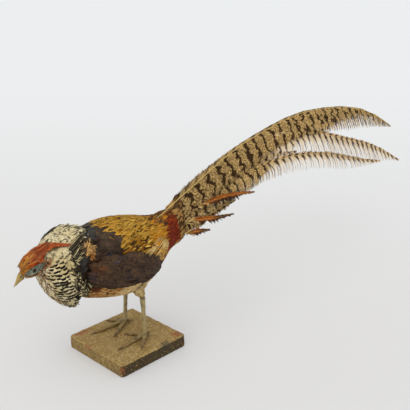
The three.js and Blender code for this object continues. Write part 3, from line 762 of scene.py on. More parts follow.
def makeBodyCoat(materials):
    trunkTree, _, _ = treeOf(["trunk", "tail_root"], -coatDepth)
    wholeTree, _, _ = treeOf(["trunk", "tail_root", "ruff"], -coatDepth)

    def rings(tree, low, high, step, gap):
        xs = np.arange(low, high, step)
        return ringRoots(tree, np.stack([xs, xs * 0, trunkMiddle(xs)], 1), (0, 1, 0), (0, 0, 1), gap)

    def darkLook(q):
        return rng.random(len(q)), 0.5 * rng.random(len(q)), np.zeros(len(q))
    spec = coats["mantle"]
    p, n, m = rings(wholeTree, -126, -30, spec["rowGap"], spec["gap"])
    keep = regionOf(p)["dark"] & (p[:, 0] > ruffEdge(p) - 5) & (n[:, 0] < 0.55) & ~((p[:, 2] > 250) & (p[:, 0] < -78))
    dark = scatter("mantle_feathers", wholeTree, p, n, m, keep, materials["dark"], spec, backward, lambda q: bodyColour(q) * rng.uniform(0.65, 1.4, (len(q), 1)), darkLook,
                   lift=0.05, height=1.4, blunt=0.32, rows=7, columns=7, ragged=0.3)

    p, n, m = rings(wholeTree, -122, -84, 1.5, 1.6)
    keep = (near(np.abs(p), (104, 41, 228), (11.5, 14, 11)) > 0.35 + 0.06 * wobble(p, 3, 7)) & (n[:, 0] < 0.6)

    def fluff(q):
        return np.stack([0.75 + 0.03 * (q[:, 0] + 99), 0.3 * rng.normal(size=len(q)), 0.045 * (q[:, 2] - 231) - 0.2], 1)

    def tuftColour(q):
        base = mixIn(np.tile(np.array(plumage["shoulder"]), (len(q), 1)), plumage["shoulderLow"], np.clip((228 - q[:, 2] + 0.3 * (q[:, 0] + 99)) / 10, 0, 1))
        return mixIn(base, dye(92, 52, 20), (rng.random(len(q)) < 0.14) * 0.8)
    patch = scatter("shoulder_feathers", wholeTree, p, n, m, keep, materials["soft"], {"length": 10.5, "width": 1.3, "stray": 0.42}, fluff, tuftColour, softLook,
                    lift=0.2, height=5.0, cling=0.8, blunt=0.3, rows=5, columns=3, ragged=0.3)

    spec = coats["back"]
    p, n, m = rings(trunkTree, -84, 100, spec["rowGap"], spec["gap"])
    gold = regionOf(p)["gold"]
    aboveWing = 1.5 + 4.5 * np.clip((np.interp(p[:, 0], [-70, -47, -31, -2, 40, 60], [222, 220, 217, 212, 196, 180]) - p[:, 2]) / 8, 0, 1)

    def goldWithFlecks(q):
        base = bodyColour(q) * rng.uniform(0.68, 1.22, (len(q), 1)) * (1 + 0.16 * wobble(q, 5, 12))[:, None]
        clump = wobble(q, 6.5, 9) + 0.6 * wobble(q, 3.1, 4)
        flecks = (clump > 0.26) & (rng.random(len(q)) < 0.8) | (rng.random(len(q)) < 0.08)
        flecks = (flecks | (near(q, (-22, -44, 221), (12, 60, 6)) > rng.random(len(q)))) & ((q[:, 0] < 16) | (q[:, 2] > 212))
        base = mixIn(base, dye(238, 194, 92), (rng.random(len(q)) < 0.2) * 0.8)
        base = mixIn(base, dye(136, 84, 18), (rng.random(len(q)) < 0.2) * 0.8)
        return mixIn(base, dye(62, 34, 10), flecks * 0.95)
    back = scatter("back_feathers", trunkTree, p, n, m, gold, materials["soft"], dict(spec, stray=0.30), backward, goldWithFlecks, softLook,
                   lift=0.10, height=aboveWing[gold], blunt=0.35, rows=5, columns=3, ragged=0.3)
    again = gold & (rng.random(len(p)) < 0.6)
    strands = scatter("back_hairs", trunkTree, p, n + 0.2 * rng.normal(size=n.shape), m, again, materials["soft"], {"length": 22, "width": 1.5, "stray": 0.36}, backward,
                      lambda q: mixIn(bodyColour(q), plumage["goldPale"], rng.random(len(q)) * 0.8), softLook, lift=0.12, height=2.0, blunt=0.1, rows=5, columns=3, ragged=0.1)

    spec = coats["belly"]
    p, n, m = rings(trunkTree, -126, 92, spec["rowGap"], spec["gap"])
    low = scatter("belly_feathers", trunkTree, p, n, m, regionOf(p)["low"], materials["soft"], dict(spec, stray=0.25), backward,
                  lambda q: mixIn(bodyColour(q), dye(224, 180, 112), (rng.random(len(q)) < 0.34) * (q[:, 2] < 160) * (q[:, 0] < 6) * 0.8) * rng.uniform(0.8, 1.15, (len(q), 1)), softLook,
                  lift=0.07, height=1.4, blunt=0.4, rows=5, columns=5, ragged=0.4)

    p, n, m = rings(trunkTree, 54, 114, 2.4, 2.7)
    keep = regionOf(p)["band"]
    band = scatter("red_band_feathers", trunkTree, p, n, m, keep, materials["soft"], {"length": 19, "width": 3.8, "stray": 0.24}, backward,
                   lambda q: mixIn(bodyColour(q), plumage["bandBright"], rng.random(len(q)) ** 3), softLook, lift=0.08, height=1.6, cling=0.7, blunt=0.3, rows=5, columns=3, ragged=0.3)
    p, n, m = rings(trunkTree, 34, 126, 3.6, 4.0)

    def covertColour(q):
        base = mixIn(bodyColour(q), plumage["tailCovert"], rng.uniform(0.4, 1, len(q)))
        ahead = (q[:, 0] < bandEnd(q) - 10) * 1.0  # ahead of the red band they are brown and gold
        base = mixIn(base, dye(128, 84, 34), ahead * 0.9)
        base = mixIn(base, plumage["rump"], ahead * (rng.random(len(q)) < 0.35) * 0.8)
        return mixIn(base, dye(66, 40, 16), (rng.random(len(q)) < np.where(q[:, 2] < 205, 0.55, 0.4)) * 0.85)
    keep = regionOf(p)["top"] | (p[:, 0] > bandEnd(p) - 3)
    risen = 1.8 + 3.4 * (np.interp(p[:, 0], [64, 78, 84, 92], [0, 1, 1, 0]) * np.clip((p[:, 1] + 5) / 3, 0, 1) * np.clip((p[:, 2] - 218) / 8, 0, 1))[keep]
    over = scatter("tail_coverts", trunkTree, p, n, m, keep, materials["soft"], {"length": 24, "width": 4.6, "stray": 0.20}, backward, covertColour,
                   lambda q: (rng.random(len(q)), np.full(len(q), 0.9), np.zeros(len(q))), lift=0.06, height=risen, cling=0.6, blunt=0.45, rows=7, columns=5, ragged=0.25)


def makeFlankPlumes(materials):  # stiff pale plumes that fan down from the rump to the wing
    tree, _, _ = treeOf(["trunk", "tail_root", "wing_left", "wing_right"], -coatDepth / 2)
    count = 120
    for side, name in ((-1, "left"), (1, "right")):
        share = np.linspace(0, 1, count)[:, None]
        start = (1 - share) * np.array([62, -36, 205]) + share * np.array([82, -28, 184]) + rng.normal(size=(count, 3)) * 2.0
        end = (1 - share) * np.array([-2, -53, 193]) + share * np.array([50, -43, 172]) + rng.normal(size=(count, 3)) * 2.5
        start[:, 1] *= -side
        end[:, 1] *= -side
        root, normal = nearest(tree, start)
        ahead = end - root
        length = np.linalg.norm(ahead, axis=1) * rng.uniform(0.75, 1.02, count)
        colour = mixIn(np.tile(np.array(plumage["flank"]), (count, 1)), dye(255, 222, 150), rng.random(count))
        colour = mixIn(colour, dye(142, 92, 34), (rng.random(count) < 0.30) * 0.8)
        centre = np.stack([0.5 + 0.02 * share[:, 0], 0.1 + 0.8 * share[:, 0]], 1)
        piece = coatPiece(f"flank_plumes_{name}", tree, root, normal, ahead, length, 1.6 + 1.4 * rng.random(count), softLook(root), colour, centre, materials["stiff"],
                          lift=0.05, height=3.2, blunt=0.25, rows=10, columns=5, ragged=0.06, start=0.6, sweep=0.2, patch=(0.02, 0.012), steep=-2)


def makeThighFeathers(materials):
    for name, top, hock in (("left", (4, -27, 146), (13.5, -28, 106)), ("right", (6, 27, 146), (24.5, 29, 106))):
        tree, _, _ = treeOf([f"thigh_{name}"], -coatDepth)
        steps = np.linspace(0, 1, 16)[:, None]
        centres = np.array(top) * (1 - steps) + np.array(hock) * steps
        p, n, m = ringRoots(tree, centres[:-1], (1, 0, 0), (0, 1, 0), 3.2, far=60)

        def down(q):
            return np.stack([np.full(len(q), 0.25), np.zeros(len(q)), np.full(len(q), -1.0)], 1)

        def colour(q):
            return mixIn(mixIn(np.tile(np.array(plumage["thigh"]), (len(q), 1)), dye(160, 124, 56), 0.5 + 0.6 * wobble(q, 6, 2)), dye(222, 200, 154), rng.random(len(q)) ** 2)
        length = np.clip((p[:, 2] - 99) * 0.8, 4, 13)
        piece = scatter(f"thigh_feathers_{name}", tree, p, n, m, length > 0, materials["soft"], {"length": 10, "width": 3.4, "stray": 0.25}, down, colour, softLook,
                        lift=0.10, height=1.5, blunt=0.4, rows=4, columns=3, ragged=0.3)


# ---- wings ----
wingSpec = {"rowGap": 5.4, "gap": 5.2, "reach": 47.0}


def wingColour(p):
    w = wobble(p, 12, 3)
    flat = p * [1, 0, 1]
    base = np.tile(np.array(dye(66, 47, 35)), (len(p), 1))
    base = mixIn(base, dye(46, 32, 26), 0.4 + 0.6 * w)
    base = mixIn(base, dye(92, 68, 46), 0.15 + 0.5 * wobble(p, 8, 6))
    # painted sheen: the next three blue-violet patches on the wing
    base = mixIn(base, dye(62, 60, 84), near(flat + 3 * wobble(p, 5, 2)[:, None], (-70, 0, 208), (10, 1, 5.5)) * 0.6)
    base = mixIn(base, dye(42, 40, 66), near(flat + 3 * wobble(p, 5, 6)[:, None], (-106, 0, 187), (8, 1, 8)) * 0.65)
    base = mixIn(base, dye(40, 38, 58), near(flat + 3 * wobble(p, 5, 3)[:, None], (-50, 0, 174), (11, 1, 5)) * 0.55)
    return mixIn(base, dye(96, 56, 28), near(flat, (-104, 0, 200), (14, 1, 8)) * 0.7)


def makeWings(materials):
    for side, name in ((-1, "left"), (1, "right")):
        node = f"wing_{name}"
        tree, points, _ = treeOf([node], -coatDepth / 2)
        cloud = np.array([tuple(p) for p in points])
        xs = np.arange(cloud[:, 0].min() + 3, cloud[:, 0].max() - 5, wingSpec["rowGap"])
        starts, maps, order = [], [], []
        for i, x in enumerate(xs):
            slab = cloud[np.abs(cloud[:, 0] - x) < 16]
            nearby = np.abs(slab[:, 0] - x)
            weight = slab[nearby < nearby.min() + 9]
            low, high = weight[:, 2].min() + 3, weight[:, 2].max() - 6
            count = max(3, int((high - low) / wingSpec["gap"]))
            zs = low + (np.arange(count) + 0.5 * (i % 2) + rng.uniform(-0.2, 0.2, count)) / count * (high - low)
            starts.append(np.stack([np.full(count, x), np.full(count, side * 120.0), zs], 1))
            maps.append(np.stack([np.full(count, 0.02 + 0.96 * i / len(xs)), np.linspace(0.03, 0.97, count)], 1))
            order.append(np.full(count, i / len(xs)))
        starts, maps, order = np.concatenate(starts), np.concatenate(maps), np.concatenate(order)
        starts[:, 0] += rng.uniform(-2.4, 2.4, len(starts)) * (order > 0) * (order < 0.93)
        root, normal = cast(tree, starts, np.tile([0.0, -side, 0.0], (len(starts), 1)))
        good = ~np.isnan(root[:, 0])
        root, normal, maps, order = root[good], normal[good], maps[good], order[good]
        length = np.interp(order, [0, 0.35, 0.7, 1], [17, 26, 34, 30]) * rng.uniform(0.9, 1.1, len(root))
        length = np.minimum(length, wingSpec["reach"] + 3 - root[:, 0] + 2 * rng.random(len(root)))
        length = np.maximum(length, 8)
        width = np.interp(order, [0, 0.4, 1], [9, 11, 12])
        drop = np.interp(root[:, 0], [-113, -60, 0, 44], [-0.30, -0.42, -0.22, 0.02])
        ahead = np.stack([np.ones(len(root)), np.zeros(len(root)), drop], 1) + 0.13 * rng.normal(size=root.shape)
        look = (rng.random(len(root)), 0.6 * rng.random(len(root)), np.zeros(len(root)))
        piece = coatPiece(f"wing_feathers_{name}", tree, root, normal, ahead, length, width, look, wingColour(root) * rng.uniform(0.7, 1.35, (len(root), 1)), maps, materials["dark"],
                          lift=0.05, height=1.3, blunt=0.8, rows=8, columns=7, ragged=0.08, patch=(0.02, 0.014))
        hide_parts(node)


# ---- the ruff: a cape of square-ended feathers round each side of the neck ----
ruffSpec = {"middle": (-150, 13, 244), "step": 2.75, "turns": 140, "reach": 100.0, "rowGap": 2, "gap": 5.8, "length": 12.0, "width": 11.5}


def spreadFrom(tree, middle, over, side):  # paths that run out over the cape from one point, and where they stay on it
    turns, steps = ruffSpec["turns"], int(ruffSpec["reach"] / ruffSpec["step"])
    east = unit(np.cross(over[0], [0.0, 0.0, 1.0]))
    north = np.cross(over[0], east)
    turn = np.linspace(0, 2 * np.pi, turns, endpoint=False)
    way = np.cos(turn)[:, None] * east + np.sin(turn)[:, None] * north
    place, normal, alive = np.repeat(middle, turns, 0), np.repeat(over, turns, 0), np.ones(turns, bool)
    states = [(place, normal, way, alive)]
    for _ in range(steps):
        want = place + way * ruffSpec["step"]
        found, out = nearest(tree, want)
        alive = alive & (np.linalg.norm(found - want, axis=1) < 1.7) & (found[:, 1] * side > -2) & ((out * normal).sum(1) > 0.55)
        way = unit(found - place)
        place, normal = np.where(alive[:, None], found, place), np.where(alive[:, None], out, normal)
        states.append((place, normal, way, alive))
    return states


def ruffRoots(tree, side):
    x, y, z = ruffSpec["middle"]
    middle, over = nearest(tree, np.array([[x, side * y, z]]))
    states = spreadFrom(tree, middle, over, side)
    turns, rows = ruffSpec["turns"], []
    for i in range(1, len(states) - 1, ruffSpec["rowGap"]):
        place, normal, way, live = states[i]
        if live.sum() < 3:
            continue
        circle = np.concatenate([place, place[:1]])
        run = np.concatenate([[0], np.cumsum(np.linalg.norm(np.diff(circle, axis=0), axis=1) * live)])
        count = max(3, int(run[-1] / ruffSpec["gap"]))
        want = (np.arange(count) + 0.5 * (i // 2 % 2) + rng.uniform(-0.15, 0.15, count)) / count * run[-1]
        index = np.round(np.interp(want % run[-1], run, np.arange(turns + 1))).astype(int) % turns
        index = index[live[index]]
        centre = np.stack([0.02 + 0.46 * index / turns + (0.5 if side > 0 else 0), np.full(len(index), 0.03 + 0.94 * i / len(states))], 1)
        rows.append((place[index], normal[index], way[index], centre))
    return [np.concatenate(part) for part in zip(*rows)]


def onThroat(p):  # the soft buff feathers below the face, ahead of the cape
    return (p[:, 0] < np.interp(p[:, 2], [150, 167, 181, 200, 212], [-150, -154, -159, -163, -165])) & (p[:, 2] < 216)


def byEar(p):
    return near(np.stack([p[:, 0], np.zeros(len(p)), p[:, 2]], 1), (-168.5, 0, 218), (9, 1, 7.5)) * (np.abs(p[:, 1]) > 8)


def makeRuff(materials):
    tree, _, _ = treeOf(["ruff", "neck"], -coatDepth)
    for side, name in ((-1, "left"), (1, "right")):
        root, out, ahead, centre = ruffRoots(tree, side)
        tips = root + ahead * ruffSpec["length"] * 0.8
        keep = (root[:, 0] < ruffEdge(root) - 8) & ~onThroat(root) & ~onThroat(tips + [3, 0, 0]) & (byEar(root) < 0.4) & (byEar(tips) < 0.5) & ~((root[:, 2] > 249) & (root[:, 0] > -104))
        root, out, ahead, centre = root[keep], out[keep], ahead[keep], centre[keep]
        count = len(root)
        lowSide = np.clip((241 - root[:, 2]) / 16, 0, 1)
        rear = np.clip((root[:, 0] + 128) / 20, 0, 1) * (root[:, 2] > 225)
        mark = np.clip(0.80 + 0.2 * lowSide + 0.2 * rear, 0, 1) * np.where((lowSide < 0.3) & (rng.random(count) < 0.2), 0.3, 1)
        tone = np.clip(0.26 + 0.30 * lowSide + 0.14 * rng.random(count), 0, 1)
        stripe = 0.85 * (rng.random(count) < 0.35 * rear + 0.16 * (1 - lowSide))
        colour = mixIn(ruffColour(root), plumage["creamWhite"], np.clip((root[:, 2] - 226) / 15, 0, 0.4))
        colour = mixIn(colour, dye(54, 50, 34), (rng.random(count) < 0.02 + 0.14 * rear) * 0.9)
        length = ruffSpec["length"] * rng.uniform(0.9, 1.2, count) * (1 + 0.35 * rear)
        width = ruffSpec["width"] * rng.uniform(0.8, 1.15, count) * (1 - 0.35 * rear)
        ways = ahead + 0.10 * rng.normal(size=ahead.shape)
        piece = coatPiece(f"ruff_feathers_{name}", tree, root, out, ways, length, width, (tone, mark, stripe), colour, centre, materials["ruff"],
                          lift=0.05, height=1.3, blunt=1.3, rows=8, columns=7, ragged=0.05, sweep=0.25)


def makeRuffFringe(materials):  # striped plumes that trail from the cape's notch over the shoulder
    tree, _, _ = treeOf(["ruff", "trunk", "wing_left", "wing_right"], -coatDepth / 2)
    first, last, endFirst, endLast, count = (-138, 36, 241), (-132, 50, 222), (-96, 24, 251), (-116, 47, 226), 40
    for side, name in ((-1, "left"), (1, "right")):
        share = np.linspace(0, 1, count)[:, None]
        start = (1 - share) * np.array(first) + share * np.array(last) + 2.0 * rng.normal(size=(count, 3))
        end = (1 - share) * np.array(endFirst) + share * np.array(endLast) + 3.0 * rng.normal(size=(count, 3))
        start[:, 1], end[:, 1] = start[:, 1] * side, end[:, 1] * side
        root, normal = nearest(tree, start)
        length = np.linalg.norm(end - root, axis=1) * rng.uniform(0.7, 1.05, count)
        colour = mixIn(np.tile(np.array(plumage["cream"]), (count, 1)), dye(36, 36, 26), (rng.random(count) < 0.4) * 0.92)
        centre = np.stack([(0.25 if side < 0 else 0.75) + 0.2 * np.linspace(0, 1, count), np.full(count, 0.5)], 1)
        look = (rng.random(count) * 0.3, np.full(count, 0.8), np.full(count, 1.0))
        piece = coatPiece(f"ruff_fringe_{name}", tree, root, normal, end - root, length, 4.2 * rng.uniform(0.7, 1.2, count), look, colour, centre, materials["ruff"],
                          lift=0.06, height=2.2, blunt=0.5, rows=12, columns=7, ragged=0.05, start=0.5, sweep=0.2, steep=-2)
        makeHem(name, side, tree, materials)


hemLine = [(-138, 50, 226), (-139, 55, 211), (-123, 50, 190), (-112, 46, 174), (-115, 37, 160), (-128, 27, 148)]  # roots of the last row, from the notch down


def makeHem(name, side, tree, materials):  # the cape's last rows of barred feathers, which stand over the shoulder and breast
    line = np.array(hemLine, float)
    run = np.concatenate([[0], np.cumsum(np.linalg.norm(np.diff(line, axis=0), axis=1))])
    starts, rowOf = [], []
    for row in range(4):
        s = np.arange(0, run[-1], 3.6) + (row % 2) * 1.8
        s = s + rng.uniform(-1.0, 1.0, len(s))
        starts.append(np.stack([np.interp(s, run, line[:, k]) for k in range(3)], 1) + np.array([-5.6, 0, 1.2]) * (3 - row))
        rowOf.append(np.full(len(s), row))
    start, rowOf = np.concatenate(starts) * [1, side, 1], np.concatenate(rowOf)
    root, normal = nearest(tree, start)
    count = len(root)
    ways = np.stack([np.interp(root[:, 2], [160, 195, 226], [0.42, 0.6, 0.75]), np.full(count, -0.05 * side), np.interp(root[:, 2], [150, 190, 226], [-0.7, -0.85, -0.60])], 1) + 0.10 * rng.normal(size=(count, 3))
    colour = mixIn(ruffColour(root), dye(28, 28, 20), (rng.random(count) < 0.10 + 0.5 * near(root * [1, 0, 1], (-130, 0, 222), (10, 1, 12))) * 0.9)
    stripe = 0.9 * (rng.random(count) < 0.45 + 0.12 * rowOf)
    centre = np.stack([(0.2 if side < 0 else 0.7) + 0.05 * rowOf, (root[:, 2] - 140) / 100], 1)
    hem = coatPiece(f"ruff_hem_{name}", tree, root, normal, ways, 17 * rng.uniform(0.85, 1.2, count), 6.0 * rng.uniform(0.8, 1.2, count), (np.full(count, 0.5), np.full(count, 1.0), stripe),
                    colour, centre, materials["ruff"], lift=0.08, height=3.6, blunt=0.9, rows=8, columns=7, ragged=0.09, sweep=0.25, steep=-2)


def makeBreastTuft(materials):  # soft cream and dark feathers that close the cape below
    tree, _, _ = treeOf(["ruff", "neck", "trunk"], -coatDepth)
    xs = np.arange(-158, -116, 3.2)
    p, n, m = ringRoots(tree, np.stack([xs, xs * 0, np.interp(xs, [-158, -112], [196, 180])], 1), (0, 1, 0), (0, 0, 1), 3.6, 95, 265)

    def colour(q):
        base = np.tile(np.array(dye(218, 194, 142)), (len(q), 1))
        base = mixIn(base, dye(176, 130, 74), rng.random(len(q)) * 0.7)
        return mixIn(base, dye(44, 28, 18), ((np.abs(q[:, 0] + 136) < 7) & (rng.random(len(q)) < 0.8)) * 0.95)

    def away(q):
        return np.stack([np.full(len(q), 0.9), 0.10 * np.sign(q[:, 1]), np.where(np.abs(q[:, 0] + 136) < 8, -0.75, -0.45)], 1)
    tuft = scatter("breast_tuft", tree, p, n, m, p[:, 2] < 154, materials["soft"], {"length": 13, "width": 2.6, "stray": 0.35}, away, colour, softLook,
                   lift=0.10, height=1.4, cling=0.35, blunt=0.4, rows=6, columns=3, ragged=0.3)


# ---- head ----
faceSpec = {"gap": 1.25, "rowGap": 1.5, "length": 5.2, "width": 1.9, "bareReach": (17.5, 6.4), "lid": (3.9, 3.2), "rings": 30, "spokes": 84}


def headAhead(p):  # small feathers lie back from the bill, and down behind the eye
    t, y, u = headCoordinates(p)
    c, s = math.cos(headDip), math.sin(headDip)
    drop = np.where(u < -2, 0.35, -0.10)
    return np.stack([c - drop * s * 0, 0.12 * np.sign(y), s - drop], 1)


def makeFaceFeathers(materials):
    tree, _, _ = treeOf(["head", "neck", "bill_upper", "bill_lower"], -0.9)
    ts = np.arange(24.5, -30, -faceSpec["rowGap"])
    centres = headPoint(ts, 0.0, -1.0)
    over = (-math.sin(headDip), 0, math.cos(headDip))
    p, n, m = ringRoots(tree, centres, (0, 1, 0), over, faceSpec["gap"], far=40)
    t, y, u = headCoordinates(p)
    keep = (bareShare(p) < 0.35) & (rng.random(len(p)) > 0.1) & (t < 23.8)
    size = np.clip(0.45 + (22 - t) / 26, 0.5, 1.35)[keep]
    spec = {"length": 1.0, "width": 1.0, "stray": 0.16}
    root, normal, centre = p[keep], n[keep], m[keep]
    ways = headAhead(root) + spec["stray"] * rng.normal(size=root.shape)
    coat = coatPiece("face_feathers", tree, root, normal, ways, faceSpec["length"] * size, faceSpec["width"] * size, softLook(root), headColour(root, False), centre, materials["soft"],
                     lift=0.12, height=0.7, blunt=0.5, rows=4, columns=3, ragged=0.3, patch=(0.006, 0.006))
    xs = np.arange(-176, -140, 2.2)
    centres = np.stack([xs, xs * 0, np.interp(xs, [-168, -122], [208, 200])], 1)
    tree, _, _ = treeOf(["neck", "head", "ruff"], -coatDepth)
    p, n, m = ringRoots(tree, centres, (0, 1, 0), (0, 0, 1), 1.8, far=70)

    def throatColour(q):
        base = mixIn(np.tile(np.array(dye(252, 232, 190)), (len(q), 1)), plumage["cheek"], rng.random(len(q)) ** 3)
        base = mixIn(base, plumage["chestnut"], (rng.random(len(q)) < 0.2) * 0.7)
        return mixIn(base, dye(150, 88, 36), byEar(q) * 2)
    throat = scatter("neck_feathers", tree, p, n, m, (onThroat(p) & (p[:, 2] > 150)) | (byEar(p) > 0.2), materials["soft"], {"length": 8, "width": 2.0, "stray": 0.25}, backward, throatColour, softLook,
                     lift=0.12, height=1.2, blunt=0.5, rows=4, columns=3, ragged=0.3)


def makeEyes(materials):
    headTree, _, _ = treeOf(["head"], 0.15)
    material, tree, shader = startMaterial("bareFaceSkin", 0.62)
    colour = node(tree, "ShaderNodeAttribute", attribute_type="GEOMETRY", attribute_name="dye").outputs["Color"]
    fine = noise(tree, objectPlace(tree), 1500.0, 3.0, 0.6)
    feed(tree, shader.inputs["Base Color"], blendColour(tree, calc(tree, "MULTIPLY", fine, 0.35), colour, (0.05, 0.06, 0.05)))
    feed(tree, shader.inputs["Normal"], bump(tree, fine, 0.35, 0.0003))
    for side, name in ((-1, "left"), (1, "right")):
        rings, spokes = faceSpec["rings"], faceSpec["spokes"]
        ball = eyePlace["radius"]
        k = np.linspace(0, 1, rings)[:, None] ** 1.25
        around = np.linspace(0, 2 * np.pi, spokes, endpoint=False)[None, :]
        lidT, lidU = faceSpec["lid"]
        farT, farU = faceSpec["bareReach"]
        point = 1 - 0.22 * np.abs(np.cos(around)) ** 6  # the opening narrows to its corners
        along = eyePlace["along"] + np.cos(around) * (lidT * point * (1 - k) + farT * k) - 2.5 * k
        above = eyePlace["above"] + np.sin(around) * (lidU * point * (1 - k) + farU * k) - 0.8 * k + 0.06 * (along - eyePlace["along"]) * k
        starts = headPoint(along.ravel(), side * 60.0, above.ravel())
        found, _ = cast(headTree, starts, np.tile([0.0, -side, 0.0], (len(starts), 1)))
        surface = np.abs(found[:, 1]).reshape(rings, spokes)
        surface = np.where(np.isnan(surface), 8.0, surface)
        reach2 = (along - eyePlace["along"]) ** 2 + (above - eyePlace["above"]) ** 2
        onBall = eyePlace["out"] + np.sqrt(np.maximum(ball**2 - reach2, 0)) * (reach2 < ball**2)
        roll = np.exp(-((k - 0.035) / 0.03) ** 2) * 0.55 + np.exp(-((k - 0.16) / 0.05) ** 2) * 0.25
        out = np.where(reach2 < (ball * 0.97) ** 2, np.maximum(onBall + 0.12, surface), surface) + roll
        out[0] = onBall[0] - 0.35
        sink = np.clip((k - 0.82) / 0.18, 0, 1) * 0.8
        wrinkle = 0.14 * np.sin(k * 46 + 1.5 * np.sin(around * 3)) * (k > 0.12) + 0.10 * rng.uniform(-1, 1, (rings, spokes)) * (k > 0.1)
        out = out + wrinkle - sink
        points = headPoint(along.ravel(), side * out.ravel(), above.ravel())
        r, c = np.meshgrid(np.arange(rings - 1), np.arange(spokes), indexing="ij")
        a, b = (r * spokes + c).ravel(), (r * spokes + (c + 1) % spokes).ravel()
        quads = np.stack([a, b, b + spokes, a + spokes], 1)
        if side > 0:
            quads = quads[:, ::-1]
        pale = np.tile(np.array(dye(122, 130, 108)), (len(points), 1))
        pale = mixIn(pale, dye(72, 74, 58), 0.42 + 0.7 * wobble(points, 2.2, 4))
        pale = mixIn(pale, dye(172, 178, 152), near(points * [1, 0, 1], (-184, 0, 206), (5, 1, 4)) * 0.7)
        pale = mixIn(pale, dye(168, 160, 128), np.exp(-((np.repeat(k, spokes, 1).ravel() - 0.04) / 0.04) ** 2) * 0.6)
        # painted shade: the bare skin turns brown towards its outer rim, where the face feathers overhang it
        pale = mixIn(pale, dye(92, 58, 28), np.clip((np.repeat(k, spokes, 1).ravel() - 0.60) / 0.3, 0, 1) * 0.75)
        uv = np.stack([(along.ravel() + 20) / 50, (above.ravel() + 10) / 20], 1) * np.array([0.48, 0.96]) + (0.01 if side < 0 else 0.51)
        skin = addPiece(f"eye_skin_{name}", points, quads, material, {"dye": np.concatenate([pale, np.ones((len(pale), 1))], 1)}, np.clip(uv, 0, 1))
        turn, tilt = np.meshgrid(np.linspace(0, 2 * np.pi, 48, endpoint=False), np.linspace(0.02, np.pi - 0.02, 28))
        centre = headPoint(eyePlace["along"], side * eyePlace["out"], eyePlace["above"])
        globe = centre + ball * np.stack([np.sin(tilt) * np.cos(turn), np.cos(tilt) * side, np.sin(tilt) * np.sin(turn)], -1).reshape(-1, 3)
        r, c = np.meshgrid(np.arange(27), np.arange(48), indexing="ij")
        a, b = (r * 48 + c).ravel(), (r * 48 + (c + 1) % 48).ravel()
        quads = np.stack([a, b, b + 48, a + 48], 1)[:, ::side]
        disc = np.sin(tilt).ravel() * ball  # distance from the middle of the eye, seen straight on
        front = np.cos(tilt).ravel() > 0
        iris = np.tile(np.array(dye(46, 26, 14)), (len(disc), 1))
        iris = mixIn(iris, dye(6, 5, 5), ((disc < 1.9) & front) * 1.0)
        iris = mixIn(iris, dye(30, 18, 12), (disc > 2.6) * 0.8)
        eye = addPiece(f"glass_eye_{name}", globe, quads, materials["eye"], {"dye": np.concatenate([iris, np.ones((len(iris), 1))], 1)}, None)
        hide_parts(f"eye_{name}")


def makeBill(materials):
    nostril = {"along": 26.0, "above": 2.4, "size": (2.4, 0.9), "deep": 0.8}
    for part in ("bill_upper", "bill_lower"):
        points, normals, quads = fineCopy([part], 0.42, 0.0, 3, 0.08)
        t, y, u = headCoordinates(points)
        slim = 1 - 0.58 * np.clip((t - 26) / 15, 0, 1) ** 1.1
        core = headPoint(t, y * slim, (u + 0.32 * (t - 22)) * slim - 0.32 * (t - 22))
        points = core + normals * (0.05 * np.sin(t * 5.5) * (0.4 + 0.6 * roughness3(points, 3, 1)))[:, None]
        if part == "bill_upper":
            hole = np.exp(-(((t - nostril["along"]) / nostril["size"][0]) ** 2 + ((u - nostril["above"]) / nostril["size"][1]) ** 2) ** 1.5) * (np.abs(y) > 1.0)
            cover = np.exp(-(((t - nostril["along"] + 0.4) / 2.8) ** 2 + ((u - nostril["above"] - 1.5) / 0.9) ** 2)) * (np.abs(y) > 0.8)
            points = points - normals * (hole * nostril["deep"])[:, None] + normals * (cover * 0.35)[:, None]
        base = np.tile(np.array(dye(176, 146, 76)), (len(points), 1))
        base = mixIn(base, dye(104, 76, 38), np.clip((28 - t) / 6, 0, 1) * 0.75)
        base = mixIn(base, dye(212, 196, 146), np.clip((t - 34) / 7, 0, 1) * 0.6)
        base = mixIn(base, dye(60, 44, 28), np.exp(-((u + 0.2 + 0.32 * (t - 22)) / 0.8) ** 2) * 0.95 * (part == "bill_upper"))
        # painted shade: the nostril opening is painted dark inside
        if part == "bill_upper":
            base = mixIn(base, dye(34, 26, 20), hole)
        bill = addPiece(part + "_horn", points, quads, materials["horn"], {"dye": np.concatenate([base, np.ones((len(base), 1))], 1)}, boxMap(points, normals))
        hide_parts(part)


# ---- crest ----
crestSpec = {"strands": 3600, "depth": 3.6}
crestLine = [  # the ridge's x, y, z, then the left edge's x, y, z
    (-199.7, 0, 219.5, -200.5, -6, 219), (-193.5, 0, 229.6, -190, -10, 223.5), (-179, 0, 238, -179, -12, 226.5), (-166.9, -1, 243.6, -168.5, -13.5, 229.5),
    (-158.2, -3, 247, -160.5, -14, 239), (-146.6, -10, 246, -151.5, -16.5, 242.5), (-136.7, -19, 244, -141, -22.5, 243), (-124.5, -29, 240, -127, -31, 239.4),
]


